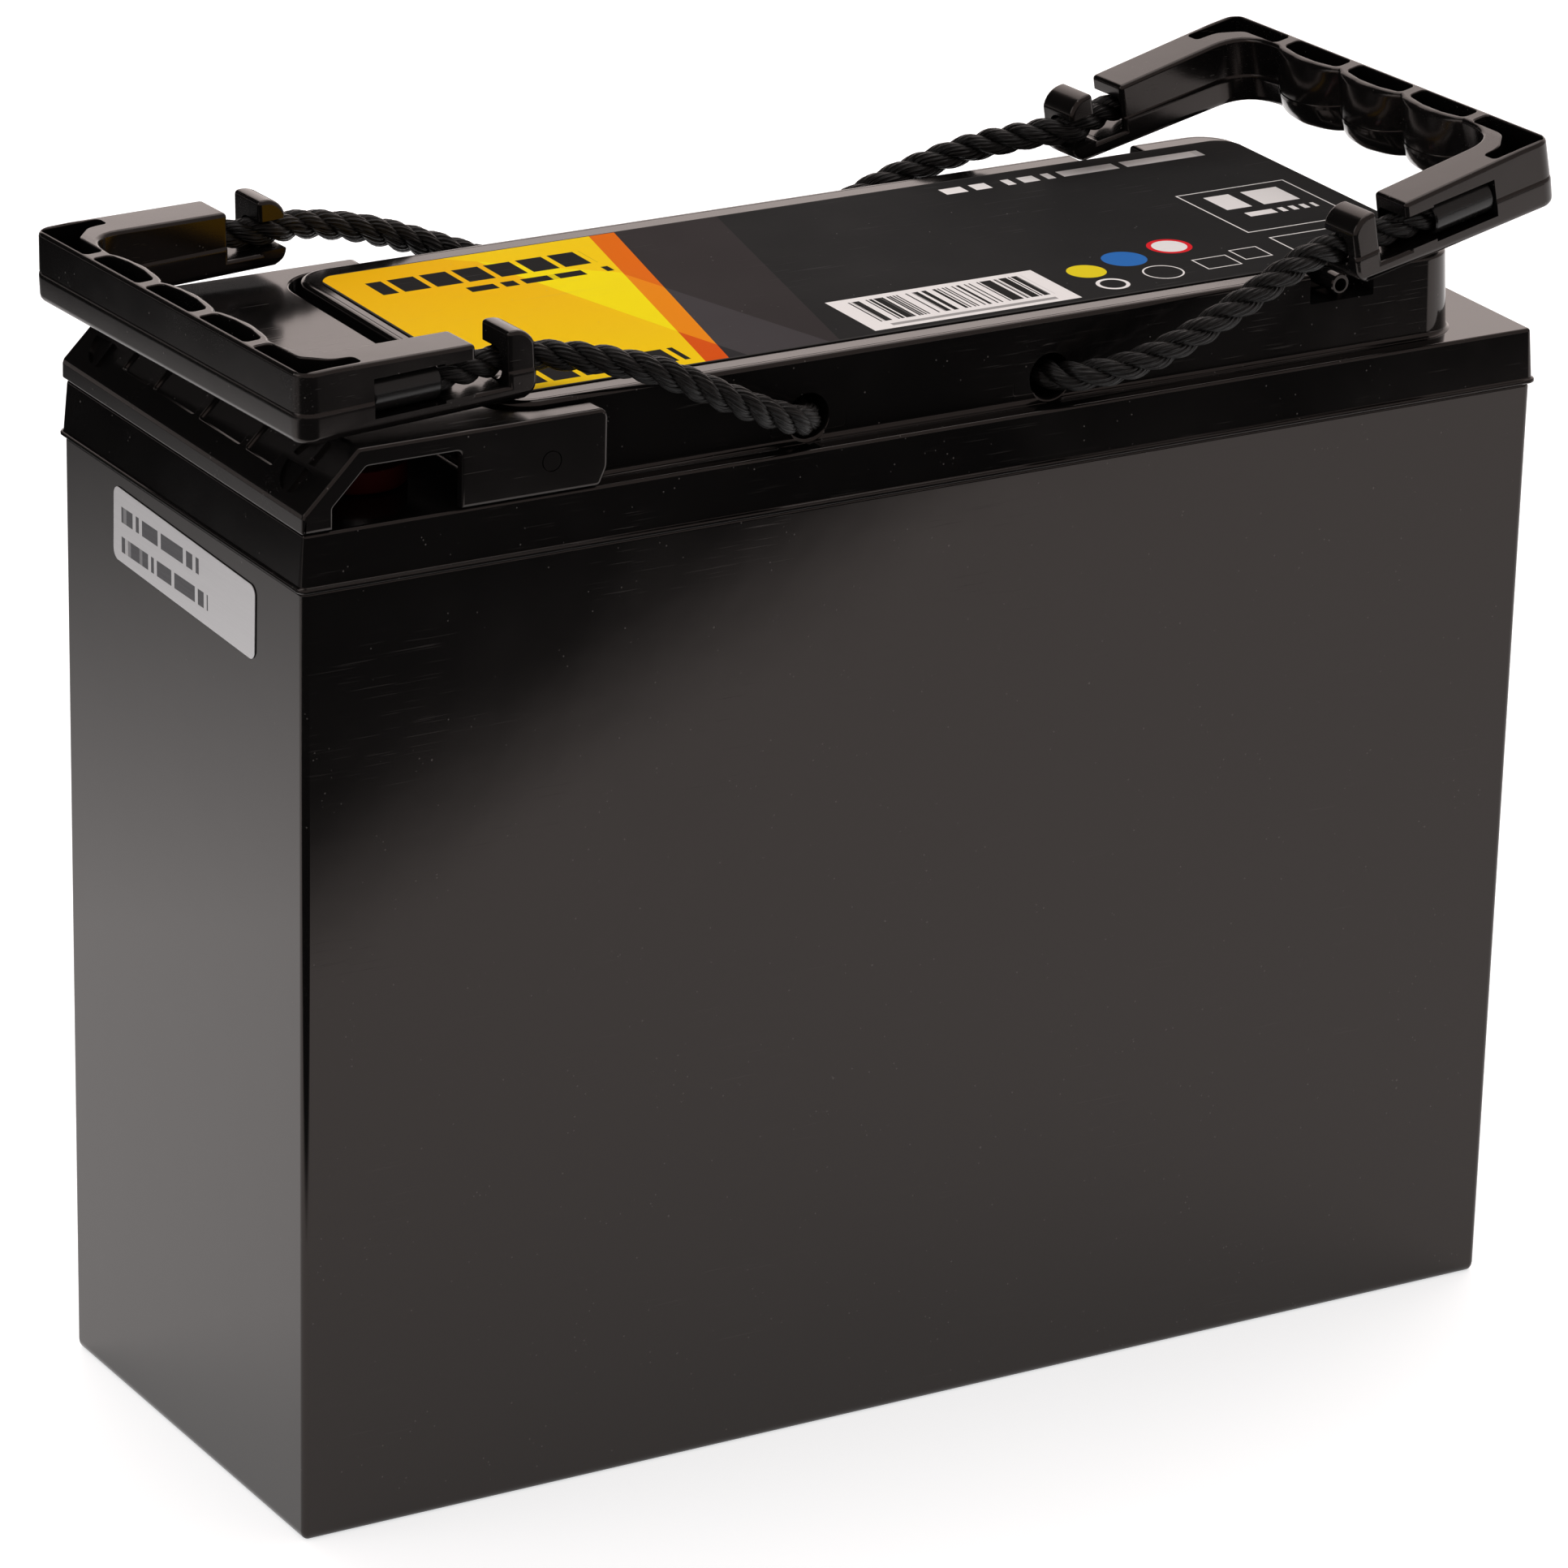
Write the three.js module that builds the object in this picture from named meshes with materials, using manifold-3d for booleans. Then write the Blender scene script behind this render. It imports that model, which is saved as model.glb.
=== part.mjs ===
// Deep cycle battery in a slim front-terminal case, drawn in millimetres.
// +X runs along the length, -Y is the near long side, +Z is up.
// The origin is the centre of the face that the case stands on.
import * as THREE from 'three';
import { mergeVertices } from 'three/addons/utils/BufferGeometryUtils.js';
import Module from 'manifold-3d';

const wasm = await Module();
wasm.setup();

// ---------- driving dimensions ----------
const GAP = 0.3;                 // clearance between neighbouring pieces
const CASE_TOP = { length: 276.2, width: 101.6, radius: 1.5 };
const CASE_FOOT = { length: 274.2, width: 100.8, radius: 1.5 };
const CASE_HEIGHT = 195.2;
const CASE_WALL = 3;
const FOOT_CHAMFER = 1;

const LID = { length: 277, width: 102.3, radius: 1.5 };
const LID_FLOOR = CASE_HEIGHT + GAP;
const LIP = 0.6;                 // thin lip round the foot of the lid
const RIM_TOP = 206.7;           // shelf round the raised part of the lid
const LID_WALL = 2.5;
const PLATEAU = { left: -93.5, right: 124.3, half: 45.75, radius: 9 };
const PLATEAU_TOP = 223.4;

const ROPE_HOLE_X = 27.2;        // the two tunnels lie this far either side of the middle
const ROPE_HOLE_Z = 211.8;
const ROPE_HOLE_BORE = 9;
const ROPE_DIAMETER = 6;
const TUNNEL_WALL = 2;

const VENT = { x: 95, z: 220.4, outer: 4.2, bore: 2.8, notchHalf: 7.5, notchDepth: 9, floor: 217.4 };

const COVER_TOP = 222.2;
const COVER_WALL = 1.9;
const COVER = { left: -138.3, flat: -126.7, right: -74, half: 51.15, inner: -95 };

const TERMINAL = { x: -115, y: 26, insert: 14, collar: 21 };
const BOLT = { shank: 5.4, head: 10, headHeight: 4.2, length: 13 };

const GRIP = { width: 103, thick: 14, armThick: 12.9, arm: 38, hook: 51.2, armWidth: 10.5 };
const GRIP_BAR = 7.2;            // depth of the bar at its narrow places
const FERRULE = { outer: 7.2, bore: 6.4, length: 14.4, start: -16.2, side: 46.7, height: 6.5 };

const CELL = { length: 131, thick: 29.3, height: 172 };
const CELL_GAP = 1;
const CELL_FLOOR = 6.2;
const POST = { diameter: 14, height: 3, offset: 44 };
const CELL_FRONT_Y = -24;        // centre of the front pair of cells
const CELL_REAR_Y = CELL_FRONT_Y + CELL.thick + CELL_GAP;

// ---------- colours ----------
const BLACK = 0x17171a;
const ROPE_BLACK = 0x1c1c1e;
const BRASS = 0xb89b58;
const STEEL = 0xb9bcc0;
const COPPER = 0xb8734a;
const BLUE_FILM = 0x2b5ea8;

// ---------- solid helpers ----------
function toSolid(geometry) {
  const plain = geometry.clone();
  plain.deleteAttribute('normal');
  plain.deleteAttribute('uv');
  const merged = mergeVertices(plain, 1e-4);
  return new wasm.Manifold(new wasm.Mesh({
    numProp: 3,
    vertProperties: Float32Array.from(merged.attributes.position.array),
    triVerts: Uint32Array.from(merged.index.array),
  }));
}

function toGeometry(solid) {
  const mesh = solid.getMesh();
  const geometry = new THREE.BufferGeometry();
  geometry.setAttribute('position', new THREE.BufferAttribute(mesh.vertProperties, 3));
  geometry.setIndex(new THREE.BufferAttribute(mesh.triVerts, 1));
  geometry.computeVertexNormals();
  return geometry;
}

function join(first, ...others) {
  return others.reduce((sum, solid) => sum.add(solid), first);
}

function cut(first, ...others) {
  return others.reduce((rest, solid) => rest.subtract(solid), first);
}

// a box between two corners
function block(x0, x1, y0, y1, z0, z1) {
  const geometry = new THREE.BoxGeometry(x1 - x0, y1 - y0, z1 - z0);
  geometry.translate((x0 + x1) / 2, (y0 + y1) / 2, (z0 + z1) / 2);
  return toSolid(geometry);
}

// a cylinder standing on (x, y, z0)
function post(x, y, z0, z1, diameter, sides = 24) {
  const geometry = new THREE.CylinderGeometry(diameter / 2, diameter / 2, z1 - z0, sides);
  geometry.rotateX(Math.PI / 2);
  geometry.translate(x, y, (z0 + z1) / 2);
  return toSolid(geometry);
}

// a cylinder lying along Y
function rodY(x, z, y0, y1, diameter, sides = 24) {
  const geometry = new THREE.CylinderGeometry(diameter / 2, diameter / 2, y1 - y0, sides);
  geometry.translate(x, (y0 + y1) / 2, z);
  return toSolid(geometry);
}

// a cylinder lying along X
function rodX(y, z, x0, x1, diameter, sides = 20) {
  const geometry = new THREE.CylinderGeometry(diameter / 2, diameter / 2, x1 - x0, sides);
  geometry.rotateZ(Math.PI / 2);
  geometry.translate((x0 + x1) / 2, y, z);
  return toSolid(geometry);
}

function roundedRect(x0, x1, y0, y1, radius) {
  const shape = new THREE.Shape();
  shape.moveTo(x0 + radius, y0);
  shape.lineTo(x1 - radius, y0);
  shape.absarc(x1 - radius, y0 + radius, radius, -Math.PI / 2, 0, false);
  shape.lineTo(x1, y1 - radius);
  shape.absarc(x1 - radius, y1 - radius, radius, 0, Math.PI / 2, false);
  shape.lineTo(x0 + radius, y1);
  shape.absarc(x0 + radius, y1 - radius, radius, Math.PI / 2, Math.PI, false);
  shape.lineTo(x0, y0 + radius);
  shape.absarc(x0 + radius, y0 + radius, radius, Math.PI, Math.PI * 1.5, false);
  return shape;
}

function prism(shape, z0, z1, curveSegments = 5) {
  const geometry = new THREE.ExtrudeGeometry(shape, {
    depth: z1 - z0, bevelEnabled: false, curveSegments,
  });
  geometry.translate(0, 0, z0);
  return toSolid(geometry);
}

// an outline in the XZ plane, carried from y0 to y1
function sideProfile(points, y0, y1) {
  const shape = new THREE.Shape(points.map(([x, z]) => new THREE.Vector2(x, z)));
  const geometry = new THREE.ExtrudeGeometry(shape, { depth: y1 - y0, bevelEnabled: false });
  geometry.rotateX(Math.PI / 2);
  geometry.translate(0, y1, 0);
  return toSolid(geometry);
}

// a body whose rounded-rectangle section changes with height
function loft(sections, cornerSteps = 4) {
  const vertices = [];
  const faces = [];
  const ring = 4 * (cornerSteps + 1);
  for (const { length, width, radius, z } of sections) {
    for (let corner = 0; corner < 4; corner += 1) {
      const cx = (length / 2 - radius) * (corner === 0 || corner === 3 ? 1 : -1);
      const cy = (width / 2 - radius) * (corner < 2 ? 1 : -1);
      for (let step = 0; step <= cornerSteps; step += 1) {
        const angle = (corner + step / cornerSteps) * Math.PI / 2;
        vertices.push(cx + radius * Math.cos(angle), cy + radius * Math.sin(angle), z);
      }
    }
  }
  for (let level = 0; level < sections.length - 1; level += 1) {
    for (let i = 0; i < ring; i += 1) {
      const a = level * ring + i;
      const b = level * ring + (i + 1) % ring;
      faces.push(a, b, b + ring, a, b + ring, a + ring);
    }
  }
  const top = (sections.length - 1) * ring;
  for (let i = 1; i < ring - 1; i += 1) {
    faces.push(0, i + 1, i);
    faces.push(top, top + i, top + i + 1);
  }
  const geometry = new THREE.BufferGeometry();
  geometry.setAttribute('position', new THREE.Float32BufferAttribute(vertices, 3));
  geometry.setIndex(faces);
  return toSolid(geometry);
}

// a round bar along a smooth curve through the given points
function cordGeometry(points, diameter, steps, sides) {
  const curve = new THREE.CatmullRomCurve3(points.map(([x, y, z]) => new THREE.Vector3(x, y, z)));
  curve.curveType = 'centripetal';
  const circle = new THREE.Shape();
  for (let i = 0; i < sides; i += 1) {
    const angle = i / sides * 2 * Math.PI;
    const x = diameter / 2 * Math.cos(angle);
    const y = diameter / 2 * Math.sin(angle);
    if (i === 0) circle.moveTo(x, y);
    else circle.lineTo(x, y);
  }
  const geometry = new THREE.ExtrudeGeometry(circle, { steps, extrudePath: curve, bevelEnabled: false });
  geometry.deleteAttribute('normal');
  geometry.deleteAttribute('uv');
  const merged = mergeVertices(geometry, 1e-4);
  merged.computeVertexNormals();
  return merged;
}

function mesh(name, shape, color, roughness, metalness = 0) {
  const geometry = shape.isBufferGeometry ? shape : toGeometry(shape);
  const material = new THREE.MeshStandardMaterial({ color, roughness, metalness });
  const node = new THREE.Mesh(geometry, material);
  node.name = name;
  return node;
}

const battery = new THREE.Group();
battery.name = 'deep_cycle_battery';

// ---------- case ----------
function buildCase() {
  const outer = loft([
    { ...CASE_FOOT, length: CASE_FOOT.length - 2 * FOOT_CHAMFER,
      width: CASE_FOOT.width - 2 * FOOT_CHAMFER, radius: 0.8, z: 0 },
    { ...CASE_FOOT, z: FOOT_CHAMFER },
    { ...CASE_TOP, z: CASE_HEIGHT },
  ]);
  const inner = loft([
    { length: CASE_FOOT.length - 2 * CASE_WALL, width: CASE_FOOT.width - 2 * CASE_WALL,
      radius: 1, z: CASE_WALL },
    { length: CASE_TOP.length - 2 * CASE_WALL, width: CASE_TOP.width - 2 * CASE_WALL,
      radius: 1, z: CASE_HEIGHT + 1 },
  ]);
  return cut(outer, inner);
}
battery.add(mesh('case', buildCase(), BLACK, 0.28));

// ---------- lid ----------
function plateauOutline(inset) {
  const radius = Math.max(PLATEAU.radius - inset, 1);
  return roundedRect(PLATEAU.left + inset, PLATEAU.right - inset,
    -PLATEAU.half + inset, PLATEAU.half - inset, radius);
}

function ventNotch(side, grow) {
  const y0 = PLATEAU.half - VENT.notchDepth - grow;
  const y1 = PLATEAU.half + 1;
  const x0 = VENT.x - VENT.notchHalf - grow;
  const x1 = VENT.x + VENT.notchHalf + grow;
  const low = VENT.floor - grow;
  const [near, far] = side > 0 ? [y0, y1] : [-y1, -y0];
  return block(x0, x1, near, far, low, PLATEAU_TOP + 1);
}

function buildLid() {
  const rim = loft([
    { length: LID.length + 2 * LIP, width: LID.width + 2 * LIP, radius: LID.radius + LIP, z: LID_FLOOR },
    { length: LID.length + 2 * LIP, width: LID.width + 2 * LIP, radius: LID.radius + LIP,
      z: LID_FLOOR + 0.8 },
    { ...LID, z: LID_FLOOR + 1.1 },
    { ...LID, z: RIM_TOP },
  ]);
  const raised = prism(plateauOutline(0), RIM_TOP - 1, PLATEAU_TOP);
  const rimRoom = loft([
    { length: CASE_TOP.length - 2 * CASE_WALL, width: CASE_TOP.width - 2 * CASE_WALL, radius: 1,
      z: LID_FLOOR - 1 },
    { length: CASE_TOP.length - 2 * CASE_WALL, width: CASE_TOP.width - 2 * CASE_WALL, radius: 1,
      z: RIM_TOP - LID_WALL },
  ]);
  let raisedRoom = prism(plateauOutline(LID_WALL), RIM_TOP - LID_WALL - 1, PLATEAU_TOP - LID_WALL, 3);
  for (const side of [-1, 1]) raisedRoom = cut(raisedRoom, ventNotch(side, LID_WALL));
  let lid = cut(join(rim, raised), rimRoom, raisedRoom);
  for (const side of [-1, 1]) {
    const x = side * ROPE_HOLE_X;
    const reach = PLATEAU.half - 0.5;
    lid = join(lid, rodY(x, ROPE_HOLE_Z, -reach, reach, ROPE_HOLE_BORE + 2 * TUNNEL_WALL));
    lid = cut(lid, rodY(x, ROPE_HOLE_Z, -PLATEAU.half - 1, PLATEAU.half + 1, ROPE_HOLE_BORE));
    lid = cut(lid, ventNotch(side, 0));
  }
  const back = -PLATEAU.half + VENT.notchDepth + 1;
  const boss = rodY(VENT.x, VENT.z, -PLATEAU.half + 1.2, back, VENT.outer, 16);
  const bore = rodY(VENT.x, VENT.z - 0.3, -PLATEAU.half, -PLATEAU.half + 14, VENT.bore, 12);
  lid = cut(join(lid, boss), bore);
  for (const side of [-1, 1]) {
    lid = cut(lid, post(TERMINAL.x, side * TERMINAL.y, LID_FLOOR, RIM_TOP + 1, TERMINAL.insert + 2 * GAP));
  }
  return lid;
}
battery.add(mesh('lid', buildLid(), BLACK, 0.25));

// ---------- labels ----------
const LABEL = { left: -89.5, right: 122.6, near: -39.6, far: 39.3, radius: 5, thick: 0.25 };
battery.add(mesh('top_label',
  prism(roundedRect(LABEL.left, LABEL.right, LABEL.near, LABEL.far, LABEL.radius),
    PLATEAU_TOP + 0.05, PLATEAU_TOP + 0.05 + LABEL.thick), 0x2e2e30, 0.45));

function buildEndLabel() {
  const size = { half: 30, low: -7.5, high: 7.5, radius: 2 };
  const geometry = new THREE.ExtrudeGeometry(
    roundedRect(-size.half, size.half, size.low, size.high, size.radius),
    { depth: 0.2, bevelEnabled: false, curveSegments: 4 });
  geometry.rotateX(Math.PI / 2);
  geometry.rotateZ(-Math.PI / 2);
  return toSolid(geometry);
}
const endLabel = mesh('end_label', buildEndLabel(), 0xc4c4c6, 0.35, 0.3);
const endWallLean = Math.atan((CASE_TOP.length - CASE_FOOT.length) / 2 / (CASE_HEIGHT - FOOT_CHAMFER));
const END_LABEL_Z = 184;
endLabel.position.set(-CASE_FOOT.length / 2 - Math.tan(endWallLean) * (END_LABEL_Z - FOOT_CHAMFER) - 0.1,
  -1.6, END_LABEL_Z);
endLabel.rotation.set(0.028, -endWallLean, 0);
battery.add(endLabel);

// ---------- terminal cover ----------
function buildCover() {
  const { left, flat, right, half, inner } = COVER;
  const foot = RIM_TOP + GAP;
  const body = sideProfile([
    [left, foot], [right - 2.5, foot], [right, foot + 4.4], [right, COVER_TOP],
    [flat, COVER_TOP], [left + 0.9, COVER_TOP - (flat - left) + 0.9], [left, COVER_TOP - (flat - left) - 0.6],
  ], -half, half);
  const slotHalf = PLATEAU.half + 0.45;
  const slot = prism(roundedRect(inner, 60, -slotHalf, slotHalf, PLATEAU.radius + 0.5),
    foot - 1, COVER_TOP + 1);
  const w = COVER_WALL;
  const room = sideProfile([
    [left + w, foot - 1], [inner + 1, foot - 1], [inner + 1, COVER_TOP - w],
    [flat + 0.4 * w, COVER_TOP - w], [left + w, COVER_TOP - (flat - left) - 1.6],
  ], -half + w, half - w);
  let cover = cut(body, slot, room);
  for (const side of [-1, 1]) {
    const y0 = PLATEAU.half + 0.45 + 1.4;
    const y1 = half - 1.4;
    cover = cut(cover, side > 0
      ? block(inner - w - 1, right - 1.6, y0, y1, foot - 1, COVER_TOP - w)
      : block(inner - w - 1, right - 1.6, -y1, -y0, foot - 1, COVER_TOP - w));
    const window = [[-132, foot - 1], [-105, foot - 1], [-105, 218.4], [-125, 218.4], [-132, 211.3]];
    cover = cut(cover, side > 0
      ? sideProfile(window, half - w - 1, half + 1)
      : sideProfile(window, -half - 1, -half + w + 1));
  }
  return cover;
}

// shallow round and square knock-outs in the sloping front of the cover
function slopeRecesses() {
  const depth = 0.7;
  const shapes = [];
  for (const side of [-1, 1]) {
    const disc = new THREE.CylinderGeometry(6.4, 6.4, 2 * depth, 20);
    disc.rotateX(Math.PI / 2);
    disc.translate(side * 40.5, 0, 0);
    shapes.push(disc);
  }
  for (const [from, to] of [[-31.5, -20.5], [-18.3, -1.1], [1.1, 18.3], [20.5, 31.5]]) {
    const pad = new THREE.BoxGeometry(to - from, 7, 2 * depth);
    pad.translate((from + to) / 2, 0, 0);
    shapes.push(pad);
  }
  const middle = (COVER.left + COVER.flat) / 2 + 0.25;
  return shapes.map((geometry) => {
    geometry.rotateZ(Math.PI / 2);
    geometry.rotateY(-Math.PI / 4);
    geometry.translate(middle, 0, COVER_TOP - (COVER.flat - middle));
    return toSolid(geometry);
  });
}
battery.add(mesh('terminal_cover', cut(buildCover(), ...slopeRecesses()), BLACK, 0.25));

// ---------- terminals ----------
for (const [name, side, collarColor] of [['positive', -1, 0xb01c1c], ['negative', 1, 0x202022]]) {
  const y = side * TERMINAL.y;
  const { x } = TERMINAL;
  const top = RIM_TOP + 6;
  const insert = cut(
    join(post(x, y, LID_FLOOR + 2, top, TERMINAL.insert),
      post(x, y, LID_FLOOR + 2, RIM_TOP - LID_WALL - GAP, TERMINAL.insert + 5)),
    post(x, y, LID_FLOOR + 5, top + 1, BOLT.shank + 2 * GAP, 16));
  battery.add(mesh(`${name}_terminal_insert`, insert, BRASS, 0.35, 0.9));
  const collar = cut(post(x, y, RIM_TOP + GAP, top - 1.2, TERMINAL.collar),
    post(x, y, RIM_TOP, top, TERMINAL.insert + 2 * GAP));
  battery.add(mesh(`${name}_terminal_collar`, collar, collarColor, 0.4));
  const hole = (z0, z1) => post(x, y, z0, z1, BOLT.shank + 2 * GAP, 16);
  const washer = cut(post(x, y, top + 0.1, top + 1.2, 12), hole(top, top + 2));
  battery.add(mesh(`${name}_flat_washer`, washer, STEEL, 0.35, 0.9));
  const spring = cut(post(x, y, top + 1.3, top + 2.6, 10.2), hole(top + 1, top + 3));
  battery.add(mesh(`${name}_spring_washer`, spring, STEEL, 0.4, 0.9));
  const under = top + 2.7;
  const bolt = join(post(x, y, under, under + BOLT.headHeight, BOLT.head / Math.cos(Math.PI / 6), 6),
    post(x, y, under - BOLT.length, under + 1, BOLT.shank, 16));
  battery.add(mesh(`${name}_terminal_bolt`, bolt, STEEL, 0.3, 0.9));
}

// ---------- cells and the parts that join them ----------
const cellSites = [
  ['cell_1', -1, CELL_FRONT_Y], ['cell_2', 1, CELL_FRONT_Y],
  ['cell_3', 1, CELL_REAR_Y], ['cell_4', -1, CELL_REAR_Y],
];
const CELL_TOP = CELL_FLOOR + CELL.height;
const POST_TOP = CELL_TOP + POST.height;
for (const [name, side, y] of cellSites) {
  const x = side * (CELL.length + CELL_GAP) / 2;
  const can = prism(roundedRect(x - CELL.length / 2, x + CELL.length / 2,
    y - CELL.thick / 2, y + CELL.thick / 2, 2), CELL_FLOOR, CELL_TOP, 3);
  const posts = [-1, 1].map((end) => (
    post(x + end * POST.offset, y, CELL_TOP - 1, POST_TOP, POST.diameter, 16)
  ));
  battery.add(mesh(name, join(can, ...posts), BLUE_FILM, 0.5));
}

const BAR = { width: 18, thick: 2 };
const middleX = (CELL.length + CELL_GAP) / 2;
const barZ = POST_TOP + 0.1;
function busbar(x0, x1, y0, y1) {
  const h = BAR.width / 2;
  return block(x0 - h, x1 + h, y0 - h, y1 + h, barZ, barZ + BAR.thick);
}
const inside = middleX - POST.offset;
const outside = middleX + POST.offset;
battery.add(mesh('front_busbar', busbar(-inside, inside, CELL_FRONT_Y, CELL_FRONT_Y), COPPER, 0.4, 0.9));
battery.add(mesh('end_busbar', busbar(outside, outside, CELL_FRONT_Y, CELL_REAR_Y), COPPER, 0.4, 0.9));
battery.add(mesh('rear_busbar', busbar(-inside, inside, CELL_REAR_Y, CELL_REAR_Y), COPPER, 0.4, 0.9));

// ---------- battery management board ----------
const BOARD = { half: 100, low: 70, high: 160, y: 27.5, thick: 1.6 };
const screwSites = [[-92, 78], [92, 78], [-92, 152], [92, 152]];
function drilled(solid, y0, y1) {
  return screwSites.reduce((rest, [x, z]) => rest.subtract(rodY(x, z, y0, y1, 3.6, 12)), solid);
}
const plateY = BOARD.y + BOARD.thick + 5;
battery.add(mesh('bms_board', drilled(block(-BOARD.half, BOARD.half, BOARD.y, BOARD.y + BOARD.thick,
  BOARD.low, BOARD.high), 20, 40), 0x1f5f3a, 0.5));
battery.add(mesh('bms_heat_plate', drilled(block(-BOARD.half, BOARD.half, plateY, plateY + 3,
  BOARD.low, BOARD.high), 20, 46), 0x9da1a6, 0.4, 0.9));
screwSites.forEach(([x, z], index) => {
  const screw = join(
    rodY(x, z, BOARD.y - 2.2, BOARD.y - 0.4, 5.6, 12),
    rodY(x, z, BOARD.y - 1, plateY + 2.5, 3, 12),
  );
  battery.add(mesh(`bms_screw_${index + 1}`, screw, STEEL, 0.35, 0.9));
});

// ---------- padding and insulation ----------
const roomHalf = CASE_FOOT.length / 2 - CASE_WALL - GAP;
const cellFront = CELL_FRONT_Y - CELL.thick / 2;
const cellRear = CELL_REAR_Y + CELL.thick / 2;
const wallY = CASE_FOOT.width / 2 - CASE_WALL - GAP;
const basePad = block(-roomHalf, roomHalf, -wallY, wallY, CASE_WALL + GAP, CELL_FLOOR - GAP);
battery.add(mesh('base_pad', basePad, 0x3a3a3c, 0.9));
const frontFoam = block(-roomHalf, roomHalf, -wallY, cellFront - GAP, CELL_FLOOR, CELL_TOP - 10);
battery.add(mesh('front_foam', frontFoam, 0x2b2b2d, 0.95));
battery.add(mesh('insulation_board', block(-roomHalf, roomHalf, cellRear + GAP, cellRear + GAP + 1.5,
  CELL_FLOOR, CELL_TOP), 0xcbb98a, 0.8));
const rearFoam = block(-roomHalf, roomHalf, plateY + 3 + GAP, wallY, CELL_FLOOR, CELL_TOP - 10);
battery.add(mesh('rear_foam', rearFoam, 0x2b2b2d, 0.95));
battery.add(mesh('top_board', block(-roomHalf + 50, roomHalf, cellFront, cellRear, barZ + BAR.thick + 2,
  barZ + BAR.thick + 3.5), 0xcbb98a, 0.8));

// ---------- leads ----------
const LEAD = 5;                  // outside diameter of a lead
const leadFoot = POST_TOP + 0.6;
const leadHead = LID_FLOOR + 2 - 0.6;
const boardTop = BOARD.high + 0.8;
const boardY = BOARD.y + BOARD.thick + 2.5;
battery.add(mesh('positive_lead', cordGeometry([
  [-outside, CELL_FRONT_Y, leadFoot], [-outside, CELL_FRONT_Y, leadFoot + 4],
  [TERMINAL.x, -TERMINAL.y, leadHead - 5], [TERMINAL.x, -TERMINAL.y, leadHead],
], LEAD, 12, 8), 0xa01818, 0.6));
battery.add(mesh('negative_lead', cordGeometry([
  [TERMINAL.x, TERMINAL.y, leadHead], [TERMINAL.x, TERMINAL.y, leadHead - 5],
  [-110, 29, 183], [-99, boardY, 175], [-90, boardY, 168], [-90, boardY, boardTop],
], LEAD, 18, 8), 0x18181a, 0.6));
battery.add(mesh('board_lead', cordGeometry([
  [-outside, CELL_REAR_Y, leadFoot], [-outside, CELL_REAR_Y, leadFoot + 5],
  [-106, 16, 188.5], [-94, 26, 184], [-78, boardY, 176], [-74, boardY, 168], [-74, boardY, boardTop],
], LEAD, 22, 8), 0x18181a, 0.6));

// ---------- rope handles ----------
// A grip is drawn lying down: +X points away from the battery, the bar's outer face is at x = 0
// and its arms reach back along -X to the hooks that the rope leaves through.
function gripPlan() {
  const half = GRIP.width / 2;
  const inner = half - GRIP.armWidth;
  const shape = new THREE.Shape();
  shape.moveTo(-GRIP.hook, -half);
  shape.lineTo(-4, -half);
  shape.absarc(-4, -half + 4, 4, -Math.PI / 2, 0, false);
  shape.lineTo(0, half - 4);
  shape.absarc(-4, half - 4, 4, 0, Math.PI / 2, false);
  shape.lineTo(-GRIP.hook, half);
  shape.lineTo(-GRIP.hook, inner);
  shape.lineTo(-14, inner);
  shape.quadraticCurveTo(-GRIP_BAR + 1, inner, -GRIP_BAR + 1, 30.5);
  for (const middle of [20, 0, -20]) {
    shape.quadraticCurveTo(-GRIP_BAR - 3.5, middle + 6, -GRIP_BAR - 3.5, middle);
    shape.quadraticCurveTo(-GRIP_BAR - 3.5, middle - 6, -GRIP_BAR + 1, middle - 9.8);
  }
  shape.quadraticCurveTo(-GRIP_BAR + 1, -inner, -14, -inner);
  shape.lineTo(-GRIP.hook, -inner);
  return shape;
}

function buildGrip() {
  const half = GRIP.width / 2;
  const { thick, armThick, arm, hook } = GRIP;
  const plan = prism(gripPlan(), 0, thick, 4);
  const profile = sideProfile([
    [-hook, 3], [-hook + 3, 0], [1, 0], [1, thick], [-8, thick], [-arm, armThick], [-arm, 3.2],
    [-45, 3.2], [-45, 13.8], [-47.5, 13.8], [-hook + 0.8, 12], [-hook, 9.6],
  ], -half - 1, half + 1);
  let grip = plan.intersect(profile);
  for (const [from, to] of [[-29.5, -12.2], [-9.4, 8.4], [11.2, 28.6]]) {
    grip = cut(grip, prism(roundedRect(-5.2, -1.4, from, to, 1.4), 5, thick + 1, 3));
  }
  for (const side of [-1, 1]) {
    const near = (a, b) => (side > 0 ? [a, b] : [-b, -a]);
    const [p0, p1] = near(31.8, 49.6);
    grip = cut(grip, prism(roundedRect(-4.8, -1.4, p0, p1, 1.2), 5, thick + 1, 3));
    const [q0, q1] = near(46.2, 49.6);
    grip = cut(grip, prism(roundedRect(-13.6, -1.4, q0, q1, 1.2), 11.4, thick + 1, 3));
    const [f0, f1] = near(42.4, half + 1);
    grip = cut(grip, block(-31.2, -15.8, f0, f1, 2.6, 10.4));
    const [r0, r1] = near(42.2, half + 1);
    grip = cut(grip, block(-arm - 1, -30, r0, r1, 3.2, 10));
    const [h0, h1] = near(37.5, 48.8);
    grip = cut(grip, block(-hook - 1, -44, h0, h1, 3.2, 9.9));
  }
  return grip;
}

function buildFerrule(side) {
  const { outer, bore, length, start, height } = FERRULE;
  const y = side * FERRULE.side;
  const tube = rodX(y, height, start - length, start, outer);
  return cut(tube, rodX(y, height, start - length - 1, start - 2, bore));
}

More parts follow.
